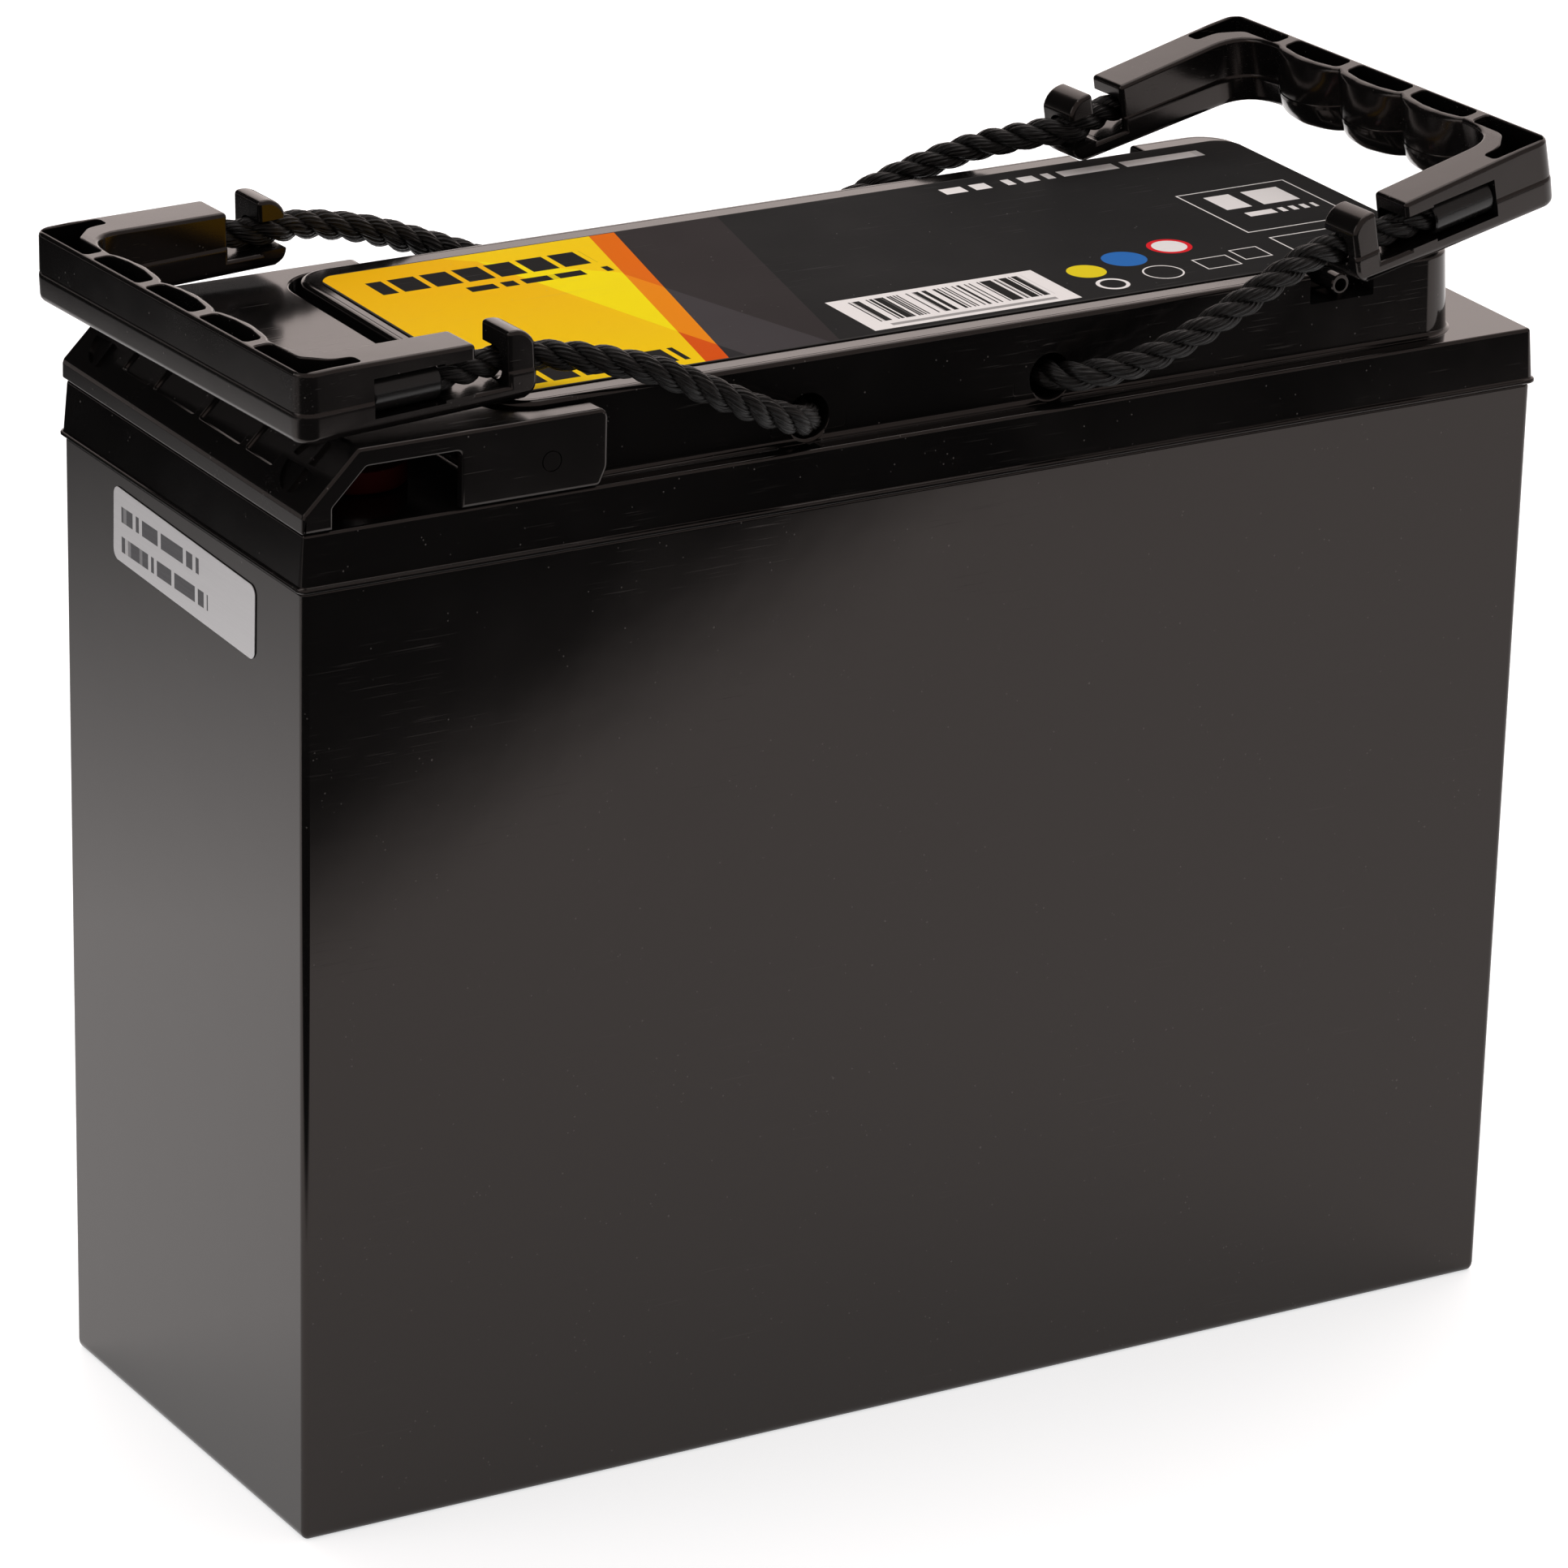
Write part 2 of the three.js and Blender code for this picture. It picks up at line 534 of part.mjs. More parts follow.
// where each grip rests: its place, its yaw about Z and its tilt about Y, in degrees
const LEFT_REST = { at: [-139.5, 3.9, 222.6], turn: 183.2, tilt: -1.75, exit: { side: 44.8, height: 6.4 } };
const RIGHT_REST = { at: [134, -6, 235], turn: 4.6, tilt: -10.5, exit: { side: 44.8, height: 6.5 } };

function restMatrix({ at, turn, tilt }) {
  const lift = new THREE.Matrix4().makeRotationY(THREE.MathUtils.degToRad(turn > 90 ? -tilt : tilt));
  const yaw = new THREE.Matrix4().makeRotationZ(THREE.MathUtils.degToRad(turn));
  return yaw.multiply(lift).setPosition(...at);
}

function ropeRoute(rest, nearSpan, farSpan) {
  const matrix = restMatrix(rest);
  const direct = rest.turn > 90 ? -1 : 1;
  const inGrip = (x, y, z) => new THREE.Vector3(x, y, z).applyMatrix4(matrix).toArray();
  const end = (worldSide) => {
    const y = worldSide * direct;
    return [
      inGrip(-49, y * rest.exit.side, rest.exit.height), inGrip(-40, y * 45.7, 6.5),
      inGrip(-32, y * FERRULE.side, FERRULE.height), inGrip(-19, y * FERRULE.side, FERRULE.height),
    ];
  };
  return [...end(-1).reverse(), ...nearSpan, ...farSpan, ...end(1)];
}

// the free spans, from the grip's hook to the middle of the tunnel and out to the other hook
const leftNear = [
  [-80.2, -38.9, 229.9], [-73, -42.8, 229.3], [-62, -48.2, 226.8], [-50, -51.3, 221.2],
  [-40, -52, 216.4], [-31.6, -50.4, 213], [-27.6, -44.8, 211.8], [-27.2, -38, ROPE_HOLE_Z],
  [-27.2, 0, ROPE_HOLE_Z],
];
const leftFar = [
  [-27.2, 38, ROPE_HOLE_Z], [-27.6, 44.8, 211.8], [-31.6, 50.4, 212.6], [-42, 52.2, 216],
  [-56, 52.8, 221.6], [-72, 52.9, 227.4], [-86, 52.9, 230.2],
];
const rightNear = [
  [81, -54.9, 231.3], [75, -54.8, 228.7], [66, -54.8, 224.3], [53, -54.6, 218.4],
  [41, -53.4, 214.4], [31.6, -50.4, 212.6], [27.6, -44.8, 211.8], [27.2, -38, ROPE_HOLE_Z],
  [27.2, 0, ROPE_HOLE_Z],
];
const rightFar = [
  [27.2, 38, ROPE_HOLE_Z], [27.6, 44.8, 211.8], [31.4, 50.4, 213.2], [38, 52.2, 216.9],
  [47, 52, 220.5], [56.5, 50.6, 223.8], [65, 46.9, 227.2], [71, 41.4, 229.9], [76, 36.8, 231.8],
];

for (const [name, rest, nearSpan, farSpan] of [
  ['left', LEFT_REST, leftNear, leftFar], ['right', RIGHT_REST, rightNear, rightFar],
]) {
  const handle = new THREE.Group();
  handle.name = `${name}_handle`;
  handle.applyMatrix4(restMatrix(rest));
  handle.add(mesh(`${name}_grip`, buildGrip(), BLACK, 0.3));
  const direct = rest.turn > 90 ? -1 : 1;
  handle.add(mesh(`${name}_near_ferrule`, buildFerrule(-direct), 0x101012, 0.25));
  handle.add(mesh(`${name}_far_ferrule`, buildFerrule(direct), 0x101012, 0.25));
  battery.add(handle);
  const route = ropeRoute(rest, nearSpan, farSpan);
  battery.add(mesh(`${name}_rope`, cordGeometry(route, ROPE_DIAMETER, 76, 10), ROPE_BLACK, 0.6));
}

export default battery;
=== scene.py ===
"""Looks of the slim front-terminal battery: gloss black case and lid, terminal cover, printed labels,
two moulded grips on laid ropes. Lengths in the tables and helpers are millimetres; meshes are metres."""
import math

import bmesh
import bpy
from mathutils import Matrix, Vector


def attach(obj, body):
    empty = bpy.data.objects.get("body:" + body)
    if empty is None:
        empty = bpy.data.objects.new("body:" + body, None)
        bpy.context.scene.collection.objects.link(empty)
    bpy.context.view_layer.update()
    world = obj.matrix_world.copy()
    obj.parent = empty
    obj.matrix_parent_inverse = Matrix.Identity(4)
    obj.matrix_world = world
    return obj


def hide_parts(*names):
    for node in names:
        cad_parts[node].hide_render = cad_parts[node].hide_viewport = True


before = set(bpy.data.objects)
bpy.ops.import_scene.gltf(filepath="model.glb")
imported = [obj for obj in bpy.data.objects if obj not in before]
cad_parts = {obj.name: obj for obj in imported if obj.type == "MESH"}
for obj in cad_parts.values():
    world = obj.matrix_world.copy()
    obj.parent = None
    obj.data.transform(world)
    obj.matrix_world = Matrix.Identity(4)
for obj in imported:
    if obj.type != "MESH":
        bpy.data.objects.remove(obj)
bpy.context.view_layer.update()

MM = 0.001
SIDES = (-1, 1)

# main measures of the lid, millimetres
LIP_Z = 195.5
RIM_TOP = 206.7
LID_TOP = 223.4
RAISED_HALF = 45.75
TUNNEL_X, TUNNEL_Z = 27.2, 211.8
TERMINAL_X, TERMINAL_Y = -115, 26
VENT_X = 95
# measures of a grip in its own drawing frame, millimetres
GRIP_HALF, ARM_INNER, HOOK_END, BAR_INNER = 51.5, 41.0, 51.2, 6.2
ROPE_HEIGHT = 6.5


def new_object(name, data):
    made = bpy.data.objects.new(name, data)
    bpy.context.scene.collection.objects.link(made)
    return made


# ---------- camera ----------
def make_camera(azimuth=-30.73, elevation=21.35, roll=1.42, distance=1.7372,
                aim=(0.01777, 0.03572, 0.1), lens=193.74):
    az, el, tip = map(math.radians, (azimuth, elevation, roll))
    back = Vector((math.sin(az) * math.cos(el), -math.cos(az) * math.cos(el), math.sin(el)))
    right = Vector((0, 0, 1)).cross(back).normalized()
    up = back.cross(right)
    turned_right = right * math.cos(tip) + up * math.sin(tip)
    turned_up = up * math.cos(tip) - right * math.sin(tip)
    data = bpy.data.cameras.new("camera")
    data.lens = lens
    data.sensor_width = 36
    camera = new_object("camera", data)
    place = Matrix((turned_right, turned_up, back)).transposed().to_4x4()
    place.translation = Vector(aim) + back * distance
    camera.matrix_world = place
    bpy.context.scene.camera = camera


make_camera()


# ---------- mesh helpers ----------
def make_object(name, points, faces):
    """A closed mesh from points in millimetres, with its faces turned outwards."""
    mesh = bpy.data.meshes.new(name)
    mesh.from_pydata([Vector(p) * MM for p in points], [], faces)
    tidy = bmesh.new()
    tidy.from_mesh(mesh)
    bmesh.ops.remove_doubles(tidy, verts=tidy.verts, dist=1e-7)
    bmesh.ops.recalc_face_normals(tidy, faces=tidy.faces)
    tidy.to_mesh(mesh)
    tidy.free()
    return new_object(name, mesh)


def loft(name, rings):
    """A solid whose rings, all with the same number of points, follow one another."""
    count = len(rings[0])
    points = [p for ring in rings for p in ring]
    faces = []
    for level in range(len(rings) - 1):
        for i in range(count):
            a = level * count + i
            b = level * count + (i + 1) % count
            faces.append((a, b, b + count, a + count))
    top = (len(rings) - 1) * count
    faces.append(tuple(reversed(range(count))))
    faces.append(tuple(range(top, top + count)))
    return make_object(name, points, faces)


def arc(cx, cy, radius, start, end, steps):
    angles = [math.radians(start + (end - start) * i / steps) for i in range(steps + 1)]
    return [(cx + radius * math.cos(a), cy + radius * math.sin(a)) for a in angles]


def rounded_rect(x0, x1, y0, y1, radius, steps=8, side=1):
    """Outline with round corners; side adds points along the straight runs."""
    corners = [(x1 - radius, y0 + radius, -90), (x1 - radius, y1 - radius, 0),
               (x0 + radius, y1 - radius, 90), (x0 + radius, y0 + radius, 180)]
    outline = []
    for i, (cx, cy, start) in enumerate(corners):
        outline += arc(cx, cy, radius, start, start + 90, steps)
        nx, ny, after = corners[(i + 1) % 4]
        first = arc(nx, ny, radius, after, after + 90, steps)[0]
        last = outline[-1]
        for k in range(1, side):
            share = k / side
            outline.append((last[0] + (first[0] - last[0]) * share,
                            last[1] + (first[1] - last[1]) * share))
    return outline


def round_corners(corners, steps):
    """Outline through (x, y, radius) corners, each replaced by an arc of that radius."""
    outline = []
    for i, (x, y, radius) in enumerate(corners):
        here = Vector((x, y))
        before = (Vector(corners[i - 1][:2]) - here).normalized()
        after = (Vector(corners[(i + 1) % len(corners)][:2]) - here).normalized()
        if radius <= 0:
            outline.append((x, y))
            continue
        half = before.angle(after) / 2
        reach = radius / math.tan(half)
        centre = here + (before + after).normalized() * radius / math.sin(half)
        start = here + before * reach - centre
        end = here + after * reach - centre
        turn = start.angle_signed(end)
        for k in range(steps + 1):
            share = -turn * k / steps
            spun = Matrix.Rotation(share, 2) @ start
            outline.append(tuple(centre + spun))
    return outline


def anticlockwise(outline):
    area = sum(x0 * y1 - x1 * y0 for (x0, y0), (x1, y1) in zip(outline, outline[1:] + outline[:1]))
    return outline if area > 0 else outline[::-1]


def inset(outline, depth):
    """The outline (anticlockwise) moved inwards; depth is one number or one for each point."""
    count = len(outline)
    depths = depth if isinstance(depth, list) else [depth] * count
    moved = []
    for i, (x, y) in enumerate(outline):
        before = Vector(outline[i - 1])
        here = Vector((x, y))
        after = Vector(outline[(i + 1) % count])
        d1 = (here - before).normalized()
        d2 = (after - here).normalized()
        n1 = Vector((-d1.y, d1.x))
        n2 = Vector((-d2.y, d2.x))
        middle = (n1 + n2).normalized()
        reach = depths[i] / max(middle.dot(n1), 0.5)
        moved.append(tuple(here + middle * reach))
    return moved


def at_height(outline, z):
    return [(x, y, z) for x, y in outline]


def fillet_levels(radius, steps=4):
    """(inset, drop) pairs round a quarter circle, from the wall to the flat."""
    pairs = []
    for k in range(steps + 1):
        angle = math.pi / 2 * k / steps
        pairs.append((radius * (1 - math.cos(angle)), radius * (1 - math.sin(angle))))
    return pairs


def stack(name, outline, levels):
    """A solid made of one outline at several (inset, height) levels."""
    return loft(name, [at_height(inset(outline, depth), z) for depth, z in levels])


def prism(name, outline, z0, z1):
    return loft(name, [at_height(outline, z) for z in (z0, z1)])


def side_profile(name, outline, y0, y1):
    """A prism along Y from an outline of (x, z) points."""
    return loft(name, [[(x, y, z) for x, z in outline] for y in (y0, y1)])


def along_x(name, levels, y0, y1, z0, z1, radius):
    """A plug lying along X; each level is (x, how far its outline stands out)."""
    return loft(name, [[(x, y, z) for y, z in rounded_rect(y0 - grow, y1 + grow, z0 - grow, z1 + grow, radius, 6)]
                       for x, grow in levels])


def slab(name, outline, z0, z1, edge):
    """A plate with rounded rims above and below."""
    rim = fillet_levels(edge, 2)
    return stack(name, outline, [(depth, z0 + drop) for depth, drop in reversed(rim)]
                 + [(depth, z1 - drop) for depth, drop in rim])


def flared_cutter(name, outline, floor, mouth, flare, floor_edge=0.3, beyond=2):
    """A cutting plug that widens at its mouth, so the rim it leaves is rounded."""
    levels = [(floor_edge, floor), (0, floor + floor_edge)]
    levels += [(-depth, mouth - drop) for depth, drop in fillet_levels(flare, 3)]
    return stack(name, outline, levels + [(-flare, mouth + beyond)])


def circle(radius, count, cx=0.0, cy=0.0):
    angles = [math.tau * i / count for i in range(count)]
    return [(cx + radius * math.cos(a), cy + radius * math.sin(a)) for a in angles]


def outer_span(side, low, high):
    """The range low..high on the positive side, or its mirror image on the other."""
    return sorted((side * low, side * high))


def lathe(name, profile, steps=32):
    """Turns a closed (radius, height) profile round Z; it may have a bore."""
    count = len(profile)
    points = []
    for k in range(steps):
        angle = 2 * math.pi * k / steps
        points += [(r * math.cos(angle), r * math.sin(angle), z) for r, z in profile]
    faces = []
    for k in range(steps):
        for i in range(count):
            a = k * count + i
            b = k * count + (i + 1) % count
            c = (k + 1) % steps * count + (i + 1) % count
            d = (k + 1) % steps * count + i
            faces.append((a, b, c, d))
    return make_object(name, points, faces)


def move(piece, matrix):
    piece.data.transform(matrix)
    return piece


def lay_along_y(piece, x, z):
    """Stands a shape drawn up Z along Y instead, through (x, z)."""
    return move(piece, Matrix.Translation((x * MM, 0, z * MM)) @ Matrix.Rotation(math.radians(-90), 4, "X"))


def evaluated(piece):
    """Replaces the piece's mesh by its modifiers' result."""
    bpy.context.view_layer.update()
    graph = bpy.context.evaluated_depsgraph_get()
    made = bpy.data.meshes.new_from_object(piece.evaluated_get(graph))
    piece.modifiers.clear()
    piece.data = made
    return piece


def combine(piece, other, operation):
    """Joins, cuts or keeps the overlap of two solids, and drops the second."""
    step = piece.modifiers.new("solid", "BOOLEAN")
    step.operation = operation
    step.solver = "MANIFOLD"
    step.object = other
    evaluated(piece)
    bpy.data.objects.remove(other, do_unlink=True)
    return piece


def cut(piece, *cutters):
    for cutter in cutters:
        combine(piece, cutter, "DIFFERENCE")
    return piece


def soften(piece, width, angle, segments, outward_only=False):
    """Rounds every edge, or every outward edge, sharper than angle by a small radius."""
    tidy = bmesh.new()
    tidy.from_mesh(piece.data)
    bmesh.ops.remove_doubles(tidy, verts=tidy.verts, dist=2e-5)
    bmesh.ops.dissolve_limit(tidy, angle_limit=math.radians(0.6), verts=tidy.verts, edges=tidy.edges)
    if outward_only:
        sharp = [e for e in tidy.edges if e.is_manifold and e.calc_face_angle_signed(0) > math.radians(angle)]
        bmesh.ops.bevel(tidy, geom=sharp, offset=width * MM, segments=segments, profile=0.5, affect="EDGES",
                        clamp_overlap=False)
        tidy.to_mesh(piece.data)
        tidy.free()
        return piece
    tidy.to_mesh(piece.data)
    tidy.free()
    step = piece.modifiers.new("edges", "BEVEL")
    step.width = width * MM
    step.segments = segments
    step.limit_method = "ANGLE"
    step.angle_limit = math.radians(angle)
    step.use_clamp_overlap = False
    return evaluated(piece)


def finish_shading(piece, sharp_from=32):
    """Smooth shading in which the large faces stay flat and only the rounded edges turn."""
    for face in piece.data.polygons:
        face.use_smooth = True
    piece.data.set_sharp_from_angle(angle=math.radians(sharp_from))
    step = piece.modifiers.new("flat faces", "WEIGHTED_NORMAL")
    step.keep_sharp = True
    step.weight = 80
    evaluated(piece)


def settle(piece, body, slot, material, node):
    """Gives the piece its finish and its body, and hides the drawn node that it stands for."""
    finish_shading(piece)
    piece.data.materials.clear()
    piece.data.materials.append(material)
    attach(piece, body)
    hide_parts(node)


# ---------- laid ropes ----------
def smooth_route(points, steps=24):
    """Centripetal Catmull-Rom points through the given ones."""
    knots = [Vector(p) for p in points]
    knots = [2 * knots[0] - knots[1]] + knots + [2 * knots[-1] - knots[-2]]
    route = []
    for p0, p1, p2, p3 in zip(knots, knots[1:], knots[2:], knots[3:]):
        t0 = 0
        t1 = t0 + (p1 - p0).length ** 0.5
        t2 = t1 + (p2 - p1).length ** 0.5
        t3 = t2 + (p3 - p2).length ** 0.5
        for k in range(steps):
            t = t1 + (t2 - t1) * k / steps
            a1 = p0 * (t1 - t) / (t1 - t0) + p1 * (t - t0) / (t1 - t0)
            a2 = p1 * (t2 - t) / (t2 - t1) + p2 * (t - t1) / (t2 - t1)
            a3 = p2 * (t3 - t) / (t3 - t2) + p3 * (t - t2) / (t3 - t2)
            b1 = a1 * (t2 - t) / (t2 - t0) + a2 * (t - t0) / (t2 - t0)
            b2 = a2 * (t3 - t) / (t3 - t1) + a3 * (t - t1) / (t3 - t1)
            route.append(b1 * (t2 - t) / (t2 - t1) + b2 * (t - t1) / (t2 - t1))
    route.append(knots[-2])
    return route


def rest_matrix(at, turn, tilt):
    """Where a grip rests: its drawing frame turned about Z, then tipped about its own Y."""
    tip = -tilt if turn > 90 else tilt
    return (Matrix.Translation(Vector(at))
            @ Matrix.Rotation(math.radians(turn), 4, "Z") @ Matrix.Rotation(math.radians(tip), 4, "Y"))


HANDLES = {
    "left": {
        "frame": rest_matrix((-139.5, 3.9, 222.6), 183.2, -1.75),
        "direct": -1, "exit": (44.8, 6.4), "body": "left_handle",
        "near": [(-80.2, -38.9, 229.9), (-73, -42.8, 229.3), (-62, -48.2, 226.8), (-50, -51.3, 221.2),
                 (-40, -52, 216.4), (-31.6, -50.4, 213), (-27.6, -44.8, 211.8), (-27.2, -38, 211.8),
                 (-27.2, 0, 211.8)],
        "far": [(-27.2, 38, 211.8), (-27.6, 44.8, 211.8), (-31.6, 50.4, 212.6), (-42, 52.2, 216),
                (-56, 52.8, 221.6), (-72, 52.9, 227.4), (-86, 52.9, 230.2)],
    },
    "right": {
        "frame": rest_matrix((134, -6, 235), 4.6, -10.5),
        "direct": 1, "exit": (44.8, 6.5), "body": "right_handle",
        "near": [(81, -54.9, 231.3), (75, -54.8, 228.7), (66, -54.8, 224.3), (53, -54.6, 218.4),
                 (41, -53.4, 214.4), (31.6, -50.4, 212.6), (27.6, -44.8, 211.8), (27.2, -38, 211.8),
                 (27.2, 0, 211.8)],
        "far": [(27.2, 38, 211.8), (27.6, 44.8, 211.8), (31.4, 50.4, 213.2), (38, 52.2, 216.9),
                (47, 52, 220.5), (56.5, 50.6, 223.8), (65, 46.9, 227.2), (71, 41.4, 229.9),
                (76, 36.8, 231.8)],
    },
}


def rope_end(handle, side):
    """The route of one rope end, from the hook's mouth into its ferrule."""
    y = side * handle["direct"]
    exit_side, exit_height = handle["exit"]
    local = [(-49, y * exit_side, exit_height), (-40, y * 46.4, 6.7),
             (-32, y * 46.7, ROPE_HEIGHT), (-19, y * 46.7, ROPE_HEIGHT)]
    return [handle["frame"] @ Vector(p) for p in local]


def rope_route(handle):
    return smooth_route(rope_end(handle, -1)[::-1] + handle["near"] + handle["far"] + rope_end(handle, 1))


class NodeTree:
    """Short names for making and joining nodes in a tree."""

    def __init__(self, tree):
        self.tree = tree

    def add(self, kind, settings=None, **inputs):
        node = self.tree.nodes.new(kind)
        for key, value in (settings or {}).items():
            setattr(node, key, value)
        for key, value in inputs.items():
            self.feed(node.inputs[int(key[1:])] if key[1:].isdigit() else node.inputs[key.replace("_", " ")], value)
        return node

    def feed(self, socket, value):
        if isinstance(value, bpy.types.NodeSocket):
            self.tree.links.new(value, socket)
        elif value is not None:
            socket.default_value = value

    def math(self, operation, a, b=None, clamp=False):
        return self.add("ShaderNodeMath", {"operation": operation, "use_clamp": clamp}, i0=a, i1=b).outputs[0]

    def plus(self, a, b, clamp=False):
        return self.math("ADD", a, b, clamp)

    def minus(self, a, b):
        return self.math("SUBTRACT", a, b)

    def times(self, a, b):
        return self.math("MULTIPLY", a, b)

    def most(self, first, *others):
        for other in others:
            first = self.math("MAXIMUM", first, other)
        return first

    def vector(self, operation, a, b=None, scale=None):
        node = self.add("ShaderNodeVectorMath", {"operation": operation}, i0=a, i1=b)
        self.feed(node.inputs[3], scale)
        return node.outputs[0]


def new_group(name, inputs):
    """An empty Geometry Nodes tree with a geometry in and out and the named inputs."""
    tree = bpy.data.node_groups.new(name, "GeometryNodeTree")
    tree.is_modifier = True
    tree.interface.new_socket("Geometry", in_out="INPUT", socket_type="NodeSocketGeometry")
    for label, kind, value in inputs:
        made = tree.interface.new_socket(label, in_out="INPUT", socket_type="NodeSocket" + kind)
        if value is not None:
            made.default_value = value
    tree.interface.new_socket("Geometry", in_out="OUTPUT", socket_type="NodeSocketGeometry")
    kit = NodeTree(tree)
    entry = kit.add("NodeGroupInput")
    return kit, entry.outputs


def close_group(kit, geometry, material):
    """Ends a tree in real geometry with its material."""
    real = kit.add("GeometryNodeRealizeInstances", i0=geometry)
    dressed = kit.add("GeometryNodeSetMaterial", Geometry=real.outputs[0], Material=material)
    kit.add("NodeGroupOutput", i0=dressed.outputs[0])
    return kit.tree


def keep(kit, geometry, label, value, kind="FLOAT"):
    """Stores a value on the geometry under a name that the rope's material reads."""
    node = kit.add("GeometryNodeStoreNamedAttribute", {"data_type": kind}, Geometry=geometry, Name=label)
    kit.feed(node.inputs["Value"], value)
    return node.outputs[0]


def laid_rope_tree():
    """Strands laid round the base curve; each is swept with a section of shallow yarn ridges."""
    kit, given = new_group("laid_rope", [
        ("Strand Radius", "Float", 0.00152), ("Strand Offset", "Float", 0.00142), ("Lay", "Float", 0.0162),
        ("Strands", "Int", 3), ("Step", "Float", 0.0008), ("Yarns", "Float", 5.0), ("Yarn Depth", "Float", 0.16),
        ("Fibre Turns", "Float", -300.0), ("Material", "Material", None)])
    even = kit.add("GeometryNodeResampleCurve", {"mode": "LENGTH"}, Curve=given["Geometry"], Length=given["Step"])
    copies = kit.add("GeometryNodeDuplicateElements", {"domain": "SPLINE"}, Geometry=even.outputs[0],
                     Amount=given["Strands"])
    along = kit.add("GeometryNodeSplineParameter").outputs["Length"]
    share = kit.math("DIVIDE", copies.outputs["Duplicate Index"], given["Strands"])
    turns = kit.plus(kit.math("DIVIDE", along, given["Lay"]), share)
    angle = kit.times(turns, math.tau)
    normal = kit.add("GeometryNodeInputNormal").outputs[0]
    tangent = kit.add("GeometryNodeInputTangent").outputs[0]
    side = kit.vector("CROSS_PRODUCT", tangent, normal)
    across = kit.vector("ADD", kit.vector("SCALE", normal, scale=kit.math("COSINE", angle)),
                        kit.vector("SCALE", side, scale=kit.math("SINE", angle)))
    marked = keep(kit, keep(kit, copies.outputs[0], "along", along), "strand", copies.outputs["Duplicate Index"])
    placed = kit.add("GeometryNodeSetPosition", Geometry=marked,
                     Offset=kit.vector("SCALE", across, scale=given["Strand Offset"]))
    tilted = kit.add("GeometryNodeSetCurveTilt", Curve=placed.outputs[0],
                     Tilt=kit.times(along, given["Fibre Turns"]))
    circle = kit.add("GeometryNodeCurvePrimitiveCircle", {"mode": "RADIUS"}, Resolution=60,
                     Radius=given["Strand Radius"])
    around = kit.add("GeometryNodeSplineParameter").outputs["Factor"]
    wave = kit.math("COSINE", kit.times(kit.times(around, given["Yarns"]), math.tau))
    ridge = kit.minus(kit.math("POWER", kit.math("ABSOLUTE", wave), 0.7), 0.75)
    swell = kit.plus(kit.times(ridge, given["Yarn Depth"]), 1.0)
    fluted = kit.add("GeometryNodeSetPosition", Geometry=circle.outputs["Curve"], Position=kit.vector(
        "SCALE", kit.add("GeometryNodeInputPosition").outputs[0], scale=swell))
    section = keep(kit, fluted.outputs[0], "section", kit.add("GeometryNodeInputPosition").outputs[0],
                   "FLOAT_VECTOR")
    swept = kit.add("GeometryNodeCurveToMesh", Curve=tilted.outputs[0])
    kit.feed(swept.inputs["Profile Curve"], section)
    kit.feed(swept.inputs["Fill Caps"], True)
    smooth = kit.add("GeometryNodeSetShadeSmooth", Geometry=swept.outputs[0])
    return close_group(kit, smooth.outputs[0], given["Material"])


def run_tree(name, base, tree, **values):
    """Evaluates a tree on the base object and returns the result as a plain mesh object."""
    step = base.modifiers.new("nodes", "NODES")
    step.node_group = tree
    sockets = {item.name: item.identifier for item in tree.interface.items_tree if item.in_out == "INPUT"}
    for key, value in values.items():
        step[sockets[key.replace("_", " ")]] = value
    bpy.context.view_layer.update()
    graph = bpy.context.evaluated_depsgraph_get()
    made = bpy.data.meshes.new_from_object(base.evaluated_get(graph))
    base.modifiers.remove(step)
    bpy.data.objects.remove(base, do_unlink=True)
    made.name = name
    return new_object(name, made)


def route_curve(points):
    data = bpy.data.curves.new("route", "CURVE")
    data.dimensions = "3D"
    spline = data.splines.new("POLY")
    spline.points.add(len(points) - 1)
    for knot, p in zip(spline.points, points):
        knot.co = (p[0] * MM, p[1] * MM, p[2] * MM, 1)
    return new_object("route", data)


